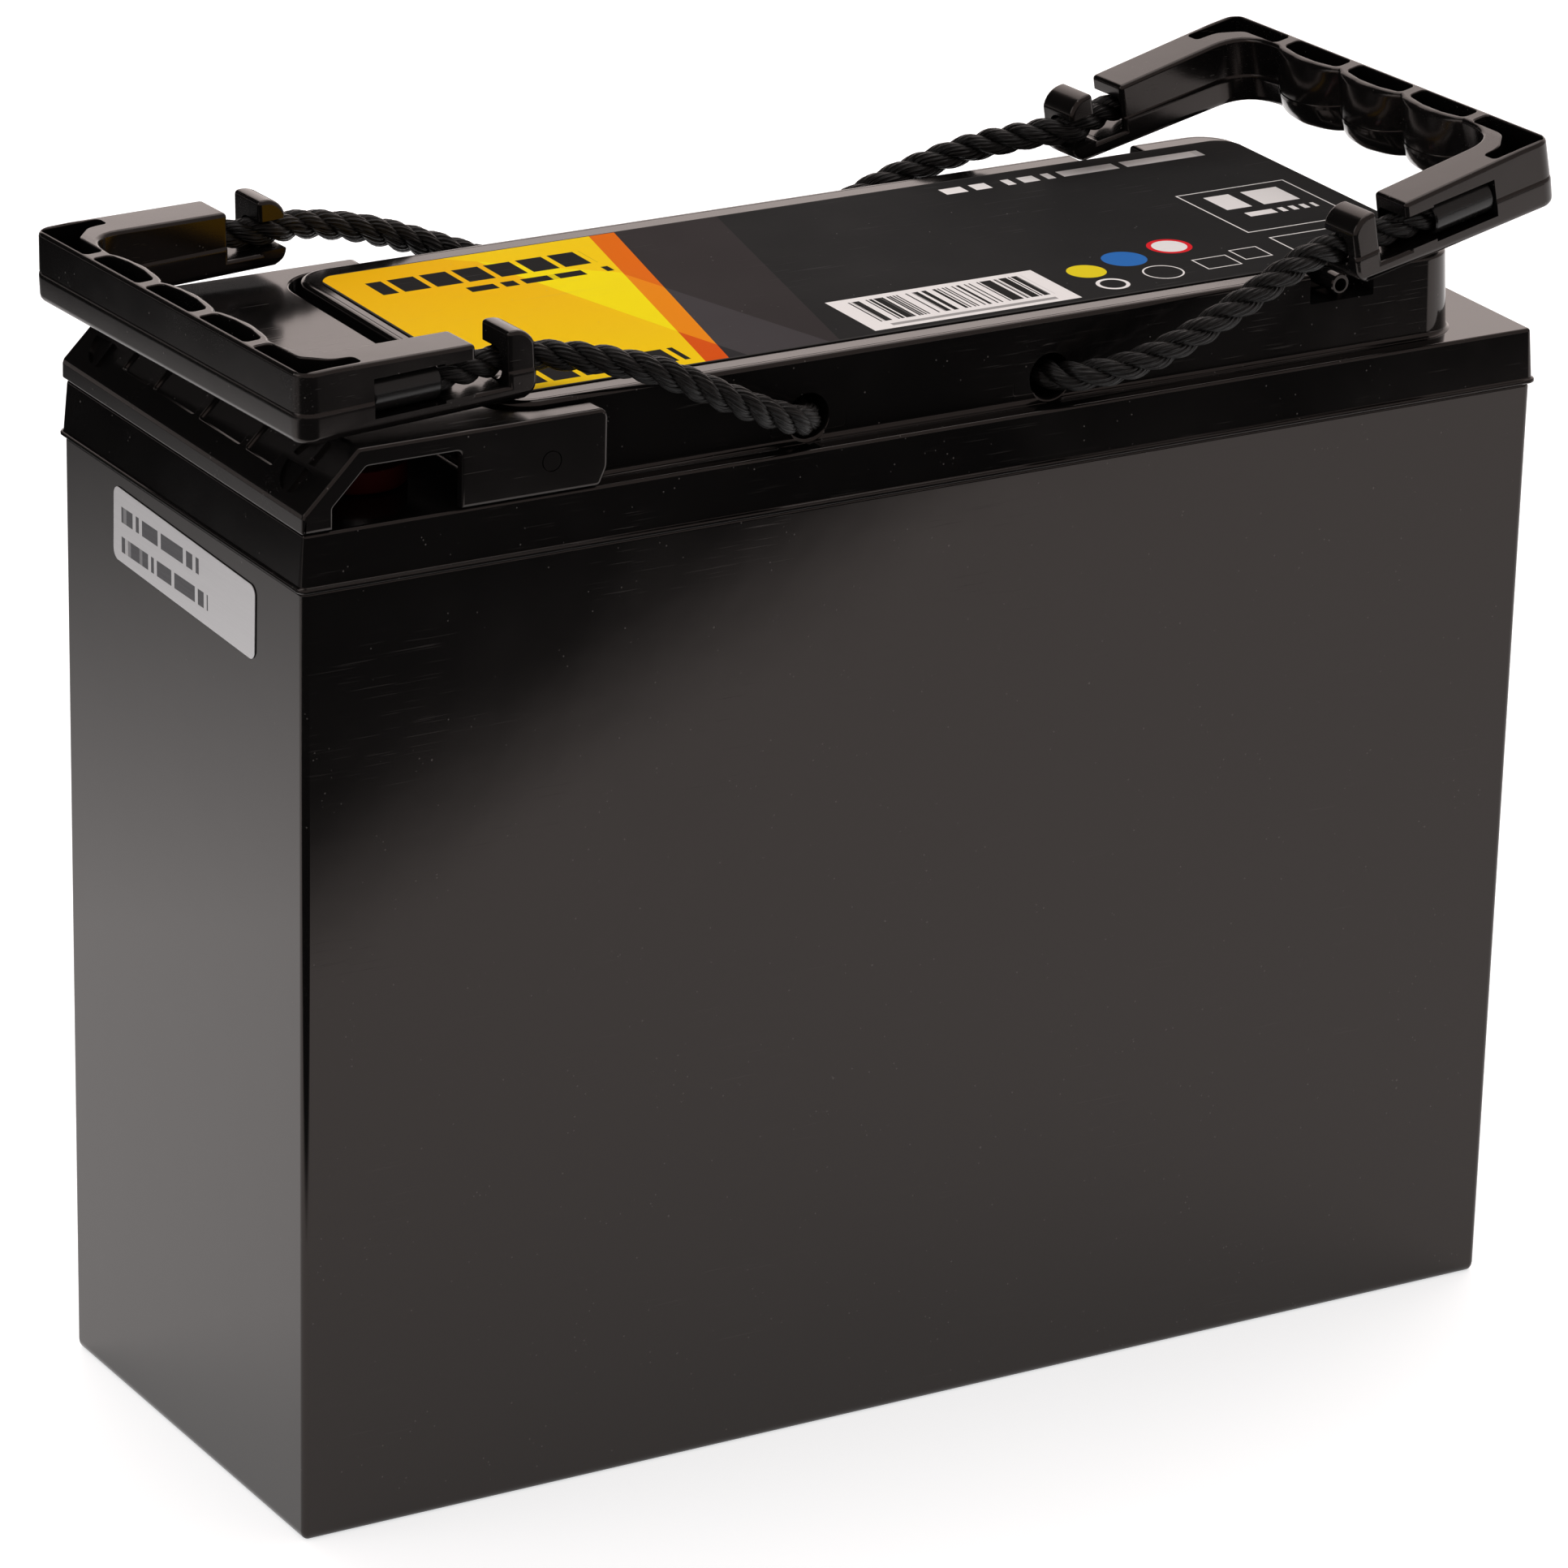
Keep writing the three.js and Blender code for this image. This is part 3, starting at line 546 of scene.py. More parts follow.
# ---------- finishes ----------
class Finish(NodeTree):
    """A material being made, with short names for the patterns it is built from."""

    def __init__(self, name):
        self.material = bpy.data.materials.new(name)
        self.material.use_nodes = True
        super().__init__(self.material.node_tree)
        self.tree.nodes.clear()
        self.out = self.add("ShaderNodeOutputMaterial")
        self.place = self.add("ShaderNodeTexCoord").outputs["Object"]

    def scaled(self, x, y, z, turn=(0, 0, 0)):
        node = self.add("ShaderNodeMapping", i0=self.place)
        node.inputs["Rotation"].default_value = [math.radians(a) for a in turn]
        node.inputs["Scale"].default_value = (x, y, z)
        return node.outputs[0]

    def noise(self, scale, detail=3.0, roughness=0.55, source=None, distortion=0.0):
        node = self.add("ShaderNodeTexNoise", Vector=source or self.place, Scale=scale, Detail=detail,
                        Roughness=roughness, Distortion=distortion)
        return node.outputs[0]

    def cells(self, scale):
        return self.add("ShaderNodeTexVoronoi", Vector=self.place, Scale=scale).outputs["Distance"]

    def step(self, value, low, high, out_low=0.0, out_high=1.0):
        """Maps value from low..high to out_low..out_high, held at the ends."""
        node = self.add("ShaderNodeMapRange", {"clamp": True}, i0=value, i1=low, i2=high, i3=out_low, i4=out_high)
        return node.outputs[0]

    def gloss(self, pattern, low, high):
        """Roughness from low to high that follows a noise pattern."""
        return self.step(pattern, 0.3, 0.7, low, high)

    def blend(self, share, a, b):
        node = self.add("ShaderNodeMix", {"data_type": "RGBA", "clamp_factor": True})
        self.feed(node.inputs[0], share)
        for socket, value in ((node.inputs[6], a), (node.inputs[7], b)):
            self.feed(socket, value if isinstance(value, bpy.types.NodeSocket) else (*value, 1.0))
        return node.outputs[2]

    def bump(self, height, distance, strength, normal=None):
        node = self.add("ShaderNodeBump", Height=height, Distance=distance, Strength=strength)
        self.feed(node.inputs["Normal"], normal)
        return node.outputs[0]

    def close(self, color, roughness, normal, metallic=0.0, **constants):
        shader = self.add("ShaderNodeBsdfPrincipled")
        self.feed(shader.inputs["Base Color"],
                  color if isinstance(color, bpy.types.NodeSocket) else (*color, 1.0))
        self.feed(shader.inputs["Roughness"], roughness)
        self.feed(shader.inputs["Metallic"], metallic)
        self.feed(shader.inputs["Normal"], normal)
        for key, value in constants.items():
            shader.inputs[key.replace("_", " ")].default_value = value
        self.tree.links.new(shader.outputs[0], self.out.inputs[0])
        return self.material

    def hairlines(self, density, turn, level, length=60.0):
        """Fine straight scratches: noise drawn out along one direction."""
        drawn = self.scaled(density / length, density, density, turn)
        lines = self.step(self.noise(1.0, 1.0, 0.4, drawn), level, level + 0.05)
        patches = self.step(self.noise(38.0, 2.0), 0.45, 0.62)
        return self.times(lines, patches)

    def specks(self, scale, size, amount):
        """Dust: small dots in some of the cells."""
        dots = self.step(self.cells(scale), size, size * 0.45)
        where = self.step(self.noise(scale * 0.31, 1.0), 1.0 - amount, 1.04 - amount)
        return self.times(dots, where)


def moulded_black(name, dust, scuffs, low=0.06, high=0.12, peel=0.006, grain=0.0, tint=(0.0025, 0.0024, 0.0024)):
    """Glossy moulded plastic with flow marks, handling scratches and a little dust."""
    mat = Finish(name)
    flow = mat.noise(14.0, 3.0, 0.6, distortion=0.4)
    base = mat.blend(flow, tint, [c * 1.55 for c in tint])
    scratch = mat.most(mat.hairlines(4200.0, (8, 14, 23), 0.7),
                       mat.hairlines(3700.0, (-12, -31, -58), 0.71))
    scratch = mat.times(scratch, scuffs)
    rubbed = mat.step(mat.noise(55.0, 4.0, 0.65), 0.5, 0.78)
    specks = mat.times(mat.specks(620.0, 0.13, 0.42), dust)
    fluff = mat.times(mat.specks(210.0, 0.06, 0.4), dust)
    dirt = mat.most(specks, fluff)
    color = mat.blend(mat.times(scratch, 0.16), base, (0.09, 0.085, 0.08))
    color = mat.blend(mat.times(dirt, 0.5), color, (0.42, 0.4, 0.38))
    gloss = mat.gloss(flow, low, high)
    gloss = mat.plus(gloss, mat.times(rubbed, 0.04 * scuffs))
    gloss = mat.plus(gloss, mat.times(mat.most(scratch, dirt), 0.2), clamp=True)
    normal = mat.bump(mat.noise(60.0, 2.0, 0.5), 0.0004, peel * 8)
    if grain:
        normal = mat.bump(mat.noise(2400.0, 2.0), 0.00004, grain, normal)
    normal = mat.bump(mat.minus(dirt, mat.times(scratch, 0.3)), 0.00002, 0.4, normal)
    return mat.close(color, gloss, normal, IOR=1.44, Specular_Tint=(1.0, 0.88, 0.83, 1))


def rope_fibre():
    mat = Finish("rope_fibre")
    section = mat.add("ShaderNodeAttribute", {"attribute_name": "section"}).outputs["Vector"]
    along = mat.add("ShaderNodeAttribute", {"attribute_name": "along"}).outputs["Fac"]
    strand = mat.add("ShaderNodeAttribute", {"attribute_name": "strand"}).outputs["Fac"]
    lengthwise = mat.add("ShaderNodeCombineXYZ", Z=mat.plus(mat.times(along, 0.045), mat.times(strand, 0.37)))
    thread = mat.vector("ADD", section, lengthwise.outputs[0])
    fine = mat.noise(3600.0, 2.0, 0.6, thread)
    coarse = mat.noise(1400.0, 2.0, 0.5, thread)
    worn = mat.noise(90.0, 3.0)
    # painted shade: the fibre colour follows the bump, darker in its low parts, the grooves between the fibres
    painted_groove_shade = mat.step(mat.plus(mat.times(fine, 0.7), mat.times(coarse, 0.3)), 0.36, 0.7)
    color = mat.blend(painted_groove_shade, (0.0006, 0.0006, 0.0006), (0.0062, 0.0055, 0.0052))
    color = mat.blend(mat.step(worn, 0.55, 0.8, 0.0, 0.2), color, (0.012, 0.011, 0.0105))
    normal = mat.bump(mat.plus(fine, mat.times(coarse, 0.8)), 0.00035, 1.0)
    gloss = mat.gloss(fine, 0.2, 0.34)
    return mat.close(color, gloss, normal, IOR=1.33)


rope_material = rope_fibre()
rope_tree = laid_rope_tree()
for side, handle in HANDLES.items():
    rope = run_tree(f"{side}_laid_rope", route_curve(rope_route(handle)), rope_tree, Material=rope_material)
    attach(rope, handle["body"])
    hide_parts(f"{side}_rope")


# ---------- case ----------
def box_outline(length, width, radius):
    return rounded_rect(-length / 2, length / 2, -width / 2, width / 2, radius, 8)


def build_case():
    """An open box: up the outside from the foot, over the rim and down inside to the floor."""
    foot = box_outline(274.2, 100.8, 1.5)
    top = box_outline(276.2, 101.6, 1.5)
    rings = [at_height(inset(foot, depth), z) for depth, z in
             ((1.35, 0.0), (0.85, 0.15), (0.4, 0.55), (0.12, 1.15), (0.0, 1.9))]
    rings += [at_height(inset(top, depth), z) for depth, z in ((0.0, 194.6), (0.15, 195.0), (0.45, 195.2))]
    rings += [at_height(box_outline(length, width, radius), z) for length, width, radius, z in
              ((270.6, 96.0, 1, 195.2), (270.2, 95.6, 1, 194.8), (268.2, 94.8, 1, 3.5), (267.2, 93.8, 0.6, 3.0))]
    return loft("case_shell", rings)


# ---------- lid ----------
def raised_outline(depth=0.0, radius=9):
    """Plan of the lid's raised part, drawn in by depth."""
    side = RAISED_HALF - depth
    return rounded_rect(-93.5 + depth, 124.3 - depth, -side, side, radius - depth, 14)


def turned_along_y(name, x, z, levels, count):
    """A turned solid whose axis lies along Y through (x, z); each level is (y, radius)."""
    return lay_along_y(loft(name, [at_height(circle(r, count), y) for y, r in levels]), x, z)


def side_hole(x, z, radius, flare=0.7, beyond=2):
    """A plug along Y through the raised part, flared where it meets each side face."""
    levels = [(-RAISED_HALF - beyond, radius + flare)]
    levels += [(depth - RAISED_HALF, radius + drop) for depth, drop in fillet_levels(flare)]
    levels += [(-y, r) for y, r in reversed(levels)]
    return turned_along_y("hole", x, z, levels, 48)


def bar_along_y(name, x, z, radius, y0, y1, count):
    return turned_along_y(name, x, z, [(y0, radius), (y1, radius)], count)


def frame_groove(x0, x1, z0, z1, y, width=0.22, depth=0.1):
    """A fine rectangular line cut into a face that looks along Y."""
    outer = side_profile("line", rounded_rect(x0, x1, z0, z1, 0.6, 3), y - depth, y + depth)
    core = rounded_rect(x0 + width, x1 - width, z0 + width, z1 - width, 0.5, 3)
    return cut(outer, side_profile("line", core, y - depth * 2, y + depth * 2))


def notch_plug(side, grow=0.0, half=7.5, depth=9, floor=217.4):
    """The notch over a vent; grown, it is the room that the hollow lid leaves round the notch."""
    radius, flare = (2, 0.05) if grow else (3.2, 0.7)
    y0, y1 = outer_span(side, RAISED_HALF - depth - grow, 60)
    outline = rounded_rect(VENT_X - half - grow, VENT_X + half + grow, y0, y1, radius, 6)
    return flared_cutter("notch", outline, floor - grow, LID_TOP, flare)


def build_lid(rim_draft=0.75, raised_draft=0.8, wall=2.5):
    lip = box_outline(278.2, 103.5, 2.1)
    levels = [(0.2, LIP_Z), (0.0, 195.7), (0.0, 196.15), (0.12, 196.35), (0.45, 196.5), (0.6, 196.65)]
    rings = [at_height(inset(lip, depth), z) for depth, z in levels]
    face = inset(lip, 0.6)
    rings += [at_height(inset(face, depth + rim_draft), RIM_TOP - drop) for depth, drop in fillet_levels(0.7, 5)]
    rim = loft("lid_shell", rings)
    foot = [(-1.2, 206.0), (-0.75, 206.78), (-0.3, 207.0), (-0.08, 207.35), (0, 207.8)]
    crown = [(depth + raised_draft, LID_TOP - drop) for depth, drop in fillet_levels(1.0, 6)]
    combine(rim, stack("raised", raised_outline(), foot + crown), "UNION")
    room = prism("room", box_outline(270.2, 95.6, 1), 194, 204.2)
    upper = loft("upper_room", [at_height(raised_outline(wall), 203),
                                at_height(raised_outline(wall + 0.1), LID_TOP - wall)])
    cut(upper, *[notch_plug(side, wall) for side in SIDES])
    cut(rim, room, upper)
    for side in SIDES:
        combine(rim, bar_along_y("tunnel", side * TUNNEL_X, TUNNEL_Z, 6.5, -45.2, 45.2, 48), "UNION")
    cut(rim, *[side_hole(side * TUNNEL_X, TUNNEL_Z, 4.5) for side in SIDES])
    cut(rim, *[notch_plug(side) for side in SIDES])
    boss = [(-44.55, 1.85), (-44.3, 2.1), (-36.0, 2.1), (-35.75, 1.85)]
    combine(rim, turned_along_y("vent_boss", VENT_X, 220.4, boss, 28), "UNION")
    cut(rim, bar_along_y("vent_bore", VENT_X, 220.25, 1.35, -46, -31.75, 24))
    for side in SIDES:
        cut(rim, prism("insert_hole", circle(7.3, 40, TERMINAL_X, side * TERMINAL_Y), 195, 208))
        for hole_side in SIDES:
            x = hole_side * TUNNEL_X
            cut(rim, frame_groove(x - 8.4, x + 8.4, 208.6, 221.2, side * 45.62))
            cut(rim, frame_groove(x - 12.5, x + 9.5, 197.6, 205.4, side * 51.13, 0.18, 0.06))
    line = prism("line", raised_outline(2.15), 223.3, 224)
    cut(rim, cut(line, prism("inner", raised_outline(2.35), 223, 224.5)))
    return rim


# ---------- terminal cover ----------
def build_cover():
    left, flat, right, half, inner = -138.3, -126.7, -74.0, 51.15, -95.0
    foot, top, wall = 207.0, 222.2, 1.9
    slope = top - (flat - left)
    body = side_profile("cover_shell", round_corners([
        (left, foot, 0.3), (right - 1.6, foot, 1.2), (right, foot + 3.6, 3.0), (right, top, 1.8),
        (flat, top, 1.2), (left + 0.35, slope + 0.35, 1.2), (left, slope - 0.6, 0.3)], 6), -half, half)
    soften(body, 0.75, 40, 3)
    slot_outline = rounded_rect(inner, 60, -46.2, 46.2, 9.5, 14)
    cut(body, flared_cutter("slot", slot_outline, foot - 2, top, 0.55))
    room = side_profile("room", round_corners([
        (left + wall, foot - 1, 0), (inner + 1, foot - 1, 0), (inner + 1, top - wall, 0),
        (flat + 0.4 * wall, top - wall, 0.8), (left + wall, slope - 1.6, 0.4)], 3), -half + wall, half - wall)
    cut(body, room)
    for side in SIDES:
        wing = rounded_rect(inner - wall - 1, right - 1.6, *outer_span(side, 47.6, half - 1.4), 0.5, 3)
        cut(body, prism("wing_room", wing, foot - 1, top - wall))
        window = round_corners([(-132, foot - 2, 0), (-105, foot - 2, 0), (-105, 218.4, 1.2), (-125, 218.4, 1.2),
                                (-132, 211.3, 0.8)], 5)
        levels = [(half - wall - 1, 0.0), (half - 0.55, 0.0)]
        levels += [(half - 0.5 + 0.5 * math.sin(a), 0.5 * (1 - math.cos(a))) for a in (0.5, 1.0, 1.5)]
        levels.append((half + 1, 0.5))
        rings = [[(x, side * y, z) for x, z in inset(anticlockwise(window), -grow)] for y, grow in levels]
        cut(body, loft("window", rings))
    # two quartered discs and four pads sunk in the sloping face
    spin = Matrix.Rotation(math.radians(-45), 4, "Y") @ Matrix.Rotation(math.radians(90), 4, "Z")
    middle = (left + flat) / 2 + 0.25
    place = Matrix.Translation((middle * MM, 0, (top - (flat - middle)) * MM)) @ spin
    depth, radius, bridge = 0.7, 6.2, 0.45
    wedge = [(max(a, bridge), max(b, bridge)) for a, b in arc(0, 0, radius, 0, 90, 12) if max(a, b) < radius - 0.01]
    wedge.append((bridge, bridge))
    for side in SIDES:
        for sx in SIDES:
            for sy in SIDES:
                quarter = anticlockwise([(sx * a + side * 40.5, sy * b) for a, b in wedge])
                plug = stack("quarter", quarter, [(0, -depth), (0, 0), (-0.2, 0.2), (-0.2, 1)])
                cut(body, move(plug, place))
    for start, end in ((-31.5, -20.5), (-18.3, -1.1), (1.1, 18.3), (20.5, 31.5)):
        plug = flared_cutter("pad", rounded_rect(start, end, -3.5, 3.5, 0.6, 4), -depth, 0.0, 0.2)
        cut(body, move(plug, place))
    # the fine ring of an ejector pin on each wing
    for side in SIDES:
        ring = bar_along_y("pin_mark", -86, 213.5, 2.1, side * half - 0.08, side * half + 0.5, 32)
        cut(body, cut(ring, bar_along_y("pin_core", -86, 213.5, 1.9, side * half - 0.3, side * half + 0.8, 32)))
    return body


# ---------- terminals ----------
def hexagon(across):
    return circle(across / 2 / math.cos(math.pi / 6), 6)


TURNED = {
    "insert": [(2.95, 200.5), (9.2, 200.5), (9.5, 200.8), (9.5, 203.6), (9.2, 203.9), (7.0, 203.9), (7.0, 212.4),
               (6.7, 212.7), (3.4, 212.7), (2.95, 212.3)],
    "collar": [(7.3, 207.0), (10.2, 207.0), (10.5, 207.3), (10.5, 210.9), (10.35, 211.3), (9.9, 211.5), (7.6, 211.5),
               (7.3, 211.2)],
    "flat_washer": [(3.0, 212.8), (5.85, 212.8), (6.0, 212.95), (6.0, 213.75), (5.85, 213.9), (3.1, 213.9),
                    (3.0, 213.8)],
}


def build_turned(name):
    return lathe(name, TURNED[name], 48)


def build_spring_washer(name):
    """One split turn of square wire whose ends stand slightly apart."""
    rings = []
    for k in range(45):
        angle = math.radians(8 + 344 * k / 44)
        lift = 214.0 + 0.16 * k / 44
        section = [(3.05, 0), (4.95, 0), (5.1, 0.15), (5.1, 0.95), (4.95, 1.1), (3.15, 1.1), (3.0, 0.95), (3.0, 0.1)]
        rings.append([(r * math.cos(angle), r * math.sin(angle), lift + h) for r, h in section])
    return loft(name, rings)


def build_bolt(name):
    """A hexagon head with a chamfered crown over a shank with turned threads."""
    under = 215.4
    levels = ((9.7, 0), (10, 0.15), (10, 4.2))
    head = loft(name, [at_height(hexagon(across), under + rise) for across, rise in levels])
    crown = [(0, under - 1), (5.9, under - 1), (5.9, under + 3.5), (4.9, under + 4.1), (0, under + 4.1)]
    combine(head, lathe("crown", crown), "INTERSECT")
    profile = [(0.0, under - 13), (2.1, under - 13), (2.7, under - 12.4)]
    for turn in range(11):
        z = under - 12.2 + turn
        profile += [(2.7, z), (2.35, z + 0.35), (2.35, z + 0.45), (2.7, z + 0.8)]
    profile += [(2.7, under - 0.8), (2.7, under + 0.5), (0.0, under + 0.5)]
    combine(head, lathe("shank", profile, 28), "UNION")
    return head


# ---------- grips ----------
def bend(start, middle, end, steps=9):
    """Points along a quadratic curve, without its start."""
    shares = [k / steps for k in range(1, steps + 1)]
    return [tuple((1 - t) ** 2 * a + 2 * t * (1 - t) * b + t * t * c for a, b, c in zip(start, middle, end))
            for t in shares]


def grip_plan(corner=4, lobe=10.7):
    """Plan of a grip, anticlockwise; the finger lobes follow the inner side of the bar."""
    side = GRIP_HALF - corner
    outline = [(-HOOK_END, -GRIP_HALF)] + arc(-corner, -side, corner, -90, 0, 10)
    outline += arc(-corner, side, corner, 0, 90, 10) + [(-HOOK_END, GRIP_HALF), (-HOOK_END, ARM_INNER)]
    outline += [(-14 - 3 * k, ARM_INNER) for k in range(9, -1, -1)]
    outline += bend(outline[-1], (-BAR_INNER, ARM_INNER), (-BAR_INNER, 30.5))
    for centre in (20, 0, -20):
        peak = (-lobe, centre)
        outline += bend(outline[-1], (-lobe, centre + 6), peak)
        outline += bend(peak, (-lobe, centre - 6), (-BAR_INNER, centre - 9.8))
    outline += bend(outline[-1], (-BAR_INNER, -ARM_INNER), (-14, -ARM_INNER))
    outline += [(-14 - 3 * k, -ARM_INNER) for k in range(1, 10)]
    outline.append((-HOOK_END, -ARM_INNER))
    return outline


def lobe_share(x, y):
    """How much of the lobes' doming a point of the plan takes: 1 at a lobe's peak, 0 off the lobes."""
    return min(1.0, max(0.0, (-x - 6.3) / 4.0)) if abs(y) < 29.5 and -12 < x < -6.0 else 0.0


def quarter_turn(steps):
    """Angles after 0 up to a right angle."""
    return [math.pi / 2 * k / steps for k in range(1, steps + 1)]


def build_grip():
    half, thick, hook = GRIP_HALF + 2, 14.0, HOOK_END
    plan = grip_plan()
    shares = [lobe_share(x, y) for x, y in plan]
    rings = []
    # (inset of the walls, inset of the lobes, height); the parting line is at 6
    shape = [(1.25, 2.9, 0.0), (0.62, 2.3, 0.22), (0.22, 1.8, 0.72), (0.08, 1.35, 1.4), (0.05, 0.6, 3.0),
             (0.0, 0.12, 4.8), (0.0, 0.0, 5.9), (0.0, 0.0, 6.05), (0.12, 0.12, 6.15), (0.14, 0.22, 7.6),
             (0.17, 0.7, 9.4), (0.2, 1.45, 11.2), (0.24, 2.35, 12.8), (0.26, 3.25, 14.2), (0.3, 3.5, 16.0)]
    for wall, lobe, z in shape:
        rings.append(at_height(inset(plan, [wall + (lobe - wall) * share for share in shares]), z))
    grip = loft("grip", rings)
    above = side_profile("above", [(3, thick), (-8, thick), (-38, 12.9), (-42, 13.3), (-45, 13.8), (-46.6, 13.8)]
                         + [(-46.6 - 4.6 * math.sin(a), 9.2 + 4.6 * math.cos(a)) for a in quarter_turn(8)]
                         + [(-hook - 2, 9.2), (-hook - 2, 20), (3, 20)], -half, half)
    below = side_profile("below", [(-hook - 2, 5), (-hook, 3.4)]
                         + [(-hook + 3.4 * (1 - math.cos(a)), 3.4 * (1 - math.sin(a))) for a in quarter_turn(6)]
                         + [(-hook + 3.4, -2), (-hook - 2, -2)], -half, half)
    cut(grip, above, below)
    for side in SIDES:
        cut(grip, prism("tray_gap", rounded_rect(-45, -38, *outer_span(side, 37, 53), 0.3, 2), 3.2, 16.5))
    soften(grip, 0.9, 50, 4, outward_only=True)
    for side in SIDES:
        mouth = [(-53, 0.45), (-51.25, 0.4), (-50.95, 0.12), (-50.6, 0.0), (-45.6, 0.0), (-45.2, 0.12), (-44, 0.4)]
        cut(grip, along_x("hook_mouth", mouth, *outer_span(side, 36, 48.5), 3.5, 9.6, 2.4),
            along_x("channel", [(-42, 0), (-28, 0)], *outer_span(side, 42.2, 60), 3.2, 10.0, 1.0),
            along_x("ferrule_pocket", [(-31.2, 0), (-15.8, 0)], *outer_span(side, 42.4, 60), 2.6, 10.4, 1.0))
        corners = [(-1.35, 31.8, 0.9), (-1.35, 49.9, 1.0), (-14.2, 49.9, 1.0), (-14.2, 46.4, 1.0),
                   (-9.6, 46.0, 3.4), (-5.3, 41.6, 3.4), (-5.1, 31.8, 1.1)]
        outline = round_corners([(x, side * y, r) for x, y, r in corners], 5)
        cut(grip, flared_cutter("corner_pocket", anticlockwise(outline), 6.0, 13.9, 0.3))
    for centre in (-20.4, -0.2, 20.2):
        y0, y1 = centre - 8.7, centre + 8.7
        outline = round_corners([(-1.35, y0, 0.9), (-1.35, y1, 0.9), (-5.0, y1, 1.3), (-6.0, centre + 3.0, 6.0),
                                 (-6.0, centre - 3.0, 6.0), (-5.0, y0, 1.3)], 5)
        cut(grip, flared_cutter("finger_pocket", anticlockwise(outline), 5.2, 14.0, 0.3))
    return grip


def build_ferrule(side_y):
    tube = lathe("ferrule", [(3.2, 0.4), (3.35, 0.0), (3.6, 0.0), (3.85, 0.3), (3.85, 14.0), (3.6, 14.4), (0.0, 14.4),
                             (0.0, 12.6), (2.9, 12.6), (3.2, 12.3)], 64)
    place = Matrix.Translation(Vector((-30.6, side_y, ROPE_HEIGHT)) * MM) @ Matrix.Rotation(math.radians(90), 4, "Y")
    return move(tube, place)


# ---------- labels ----------
def build_top_label():
    return slab("top_label_film", rounded_rect(-89.5, 122.6, -39.6, 39.3, 5, 10, 3), 223.45, 223.68, 0.08)


def build_end_label():
    plate = slab("end_label_foil", rounded_rect(-30, 30, -7.5, 7.5, 2, 8), 0, 0.18, 0.06)
    lean = math.atan(1.0 / 193.2)
    x = -137.1 - math.tan(lean) * (184 - 2) - 0.1
    stand = Matrix(((0, 0, -1, 0), (-1, 0, 0, 0), (0, 1, 0, 0), (0, 0, 0, 1)))
    place = (Matrix.Translation((x * MM, -1.6 * MM, 0.184)) @ Matrix.Rotation(0.028, 4, "X")
             @ Matrix.Rotation(-lean, 4, "Y") @ stand)
    return move(plate, place)


# ---------- printed and metal finishes ----------
class Print(Finish):
    """A printed film: masks are drawn in millimetres on two axes of the piece."""

    def __init__(self, name, shift=(0, 0, 0)):
        super().__init__(name)
        place = self.add("ShaderNodeMapping", i0=self.place)
        place.inputs["Location"].default_value = shift
        place.inputs["Scale"].default_value = (1 / MM,) * 3
        parts = self.add("ShaderNodeSeparateXYZ", i0=place.outputs[0]).outputs
        self.x, self.y, self.z = parts[0], parts[1], parts[2]

    def above(self, value, level, soft=0.05):
        return self.step(value, level - soft, level + soft)

    def beyond(self, slant, level):
        """1 where x + slant * y is more than level."""
        return self.above(self.plus(self.x, self.times(self.y, slant)), level)

    def rect(self, x0, x1, y0, y1, u=None, v=None):
        u, v = u or self.x, v or self.y
        across = self.minus(self.above(u, x0), self.above(u, x1))
        along = self.minus(self.above(v, y0), self.above(v, y1))
        return self.times(across, along)

    def disc(self, cx, cy, radius):
        dx = self.minus(self.x, cx)
        dy = self.minus(self.y, cy)
        reach = self.math("SQRT", self.plus(self.times(dx, dx), self.times(dy, dy)))
        return self.step(reach, radius + 0.06, radius - 0.06)

    def outline(self, x0, x1, y0, y1, width=0.3):
        return self.minus(self.rect(x0, x1, y0, y1),
                         self.rect(x0 + width, x1 - width, y0 + width, y1 - width))

    def words(self, x0, x1, y0, y1, unit, seed, u=None, v=None):
        """A line of blank blocks of uneven length, where small print would be."""
        u = u or self.x
        cell = self.math("FLOOR", self.math("DIVIDE", u, unit))
        chance = self.add("ShaderNodeTexWhiteNoise", {"noise_dimensions": "1D"}, W=self.plus(cell, seed))
        kept = self.above(chance.outputs["Value"], 0.22)
        return self.times(self.rect(x0, x1, y0, y1, u, v), kept)


WHITE_INK = (0.86, 0.86, 0.86)


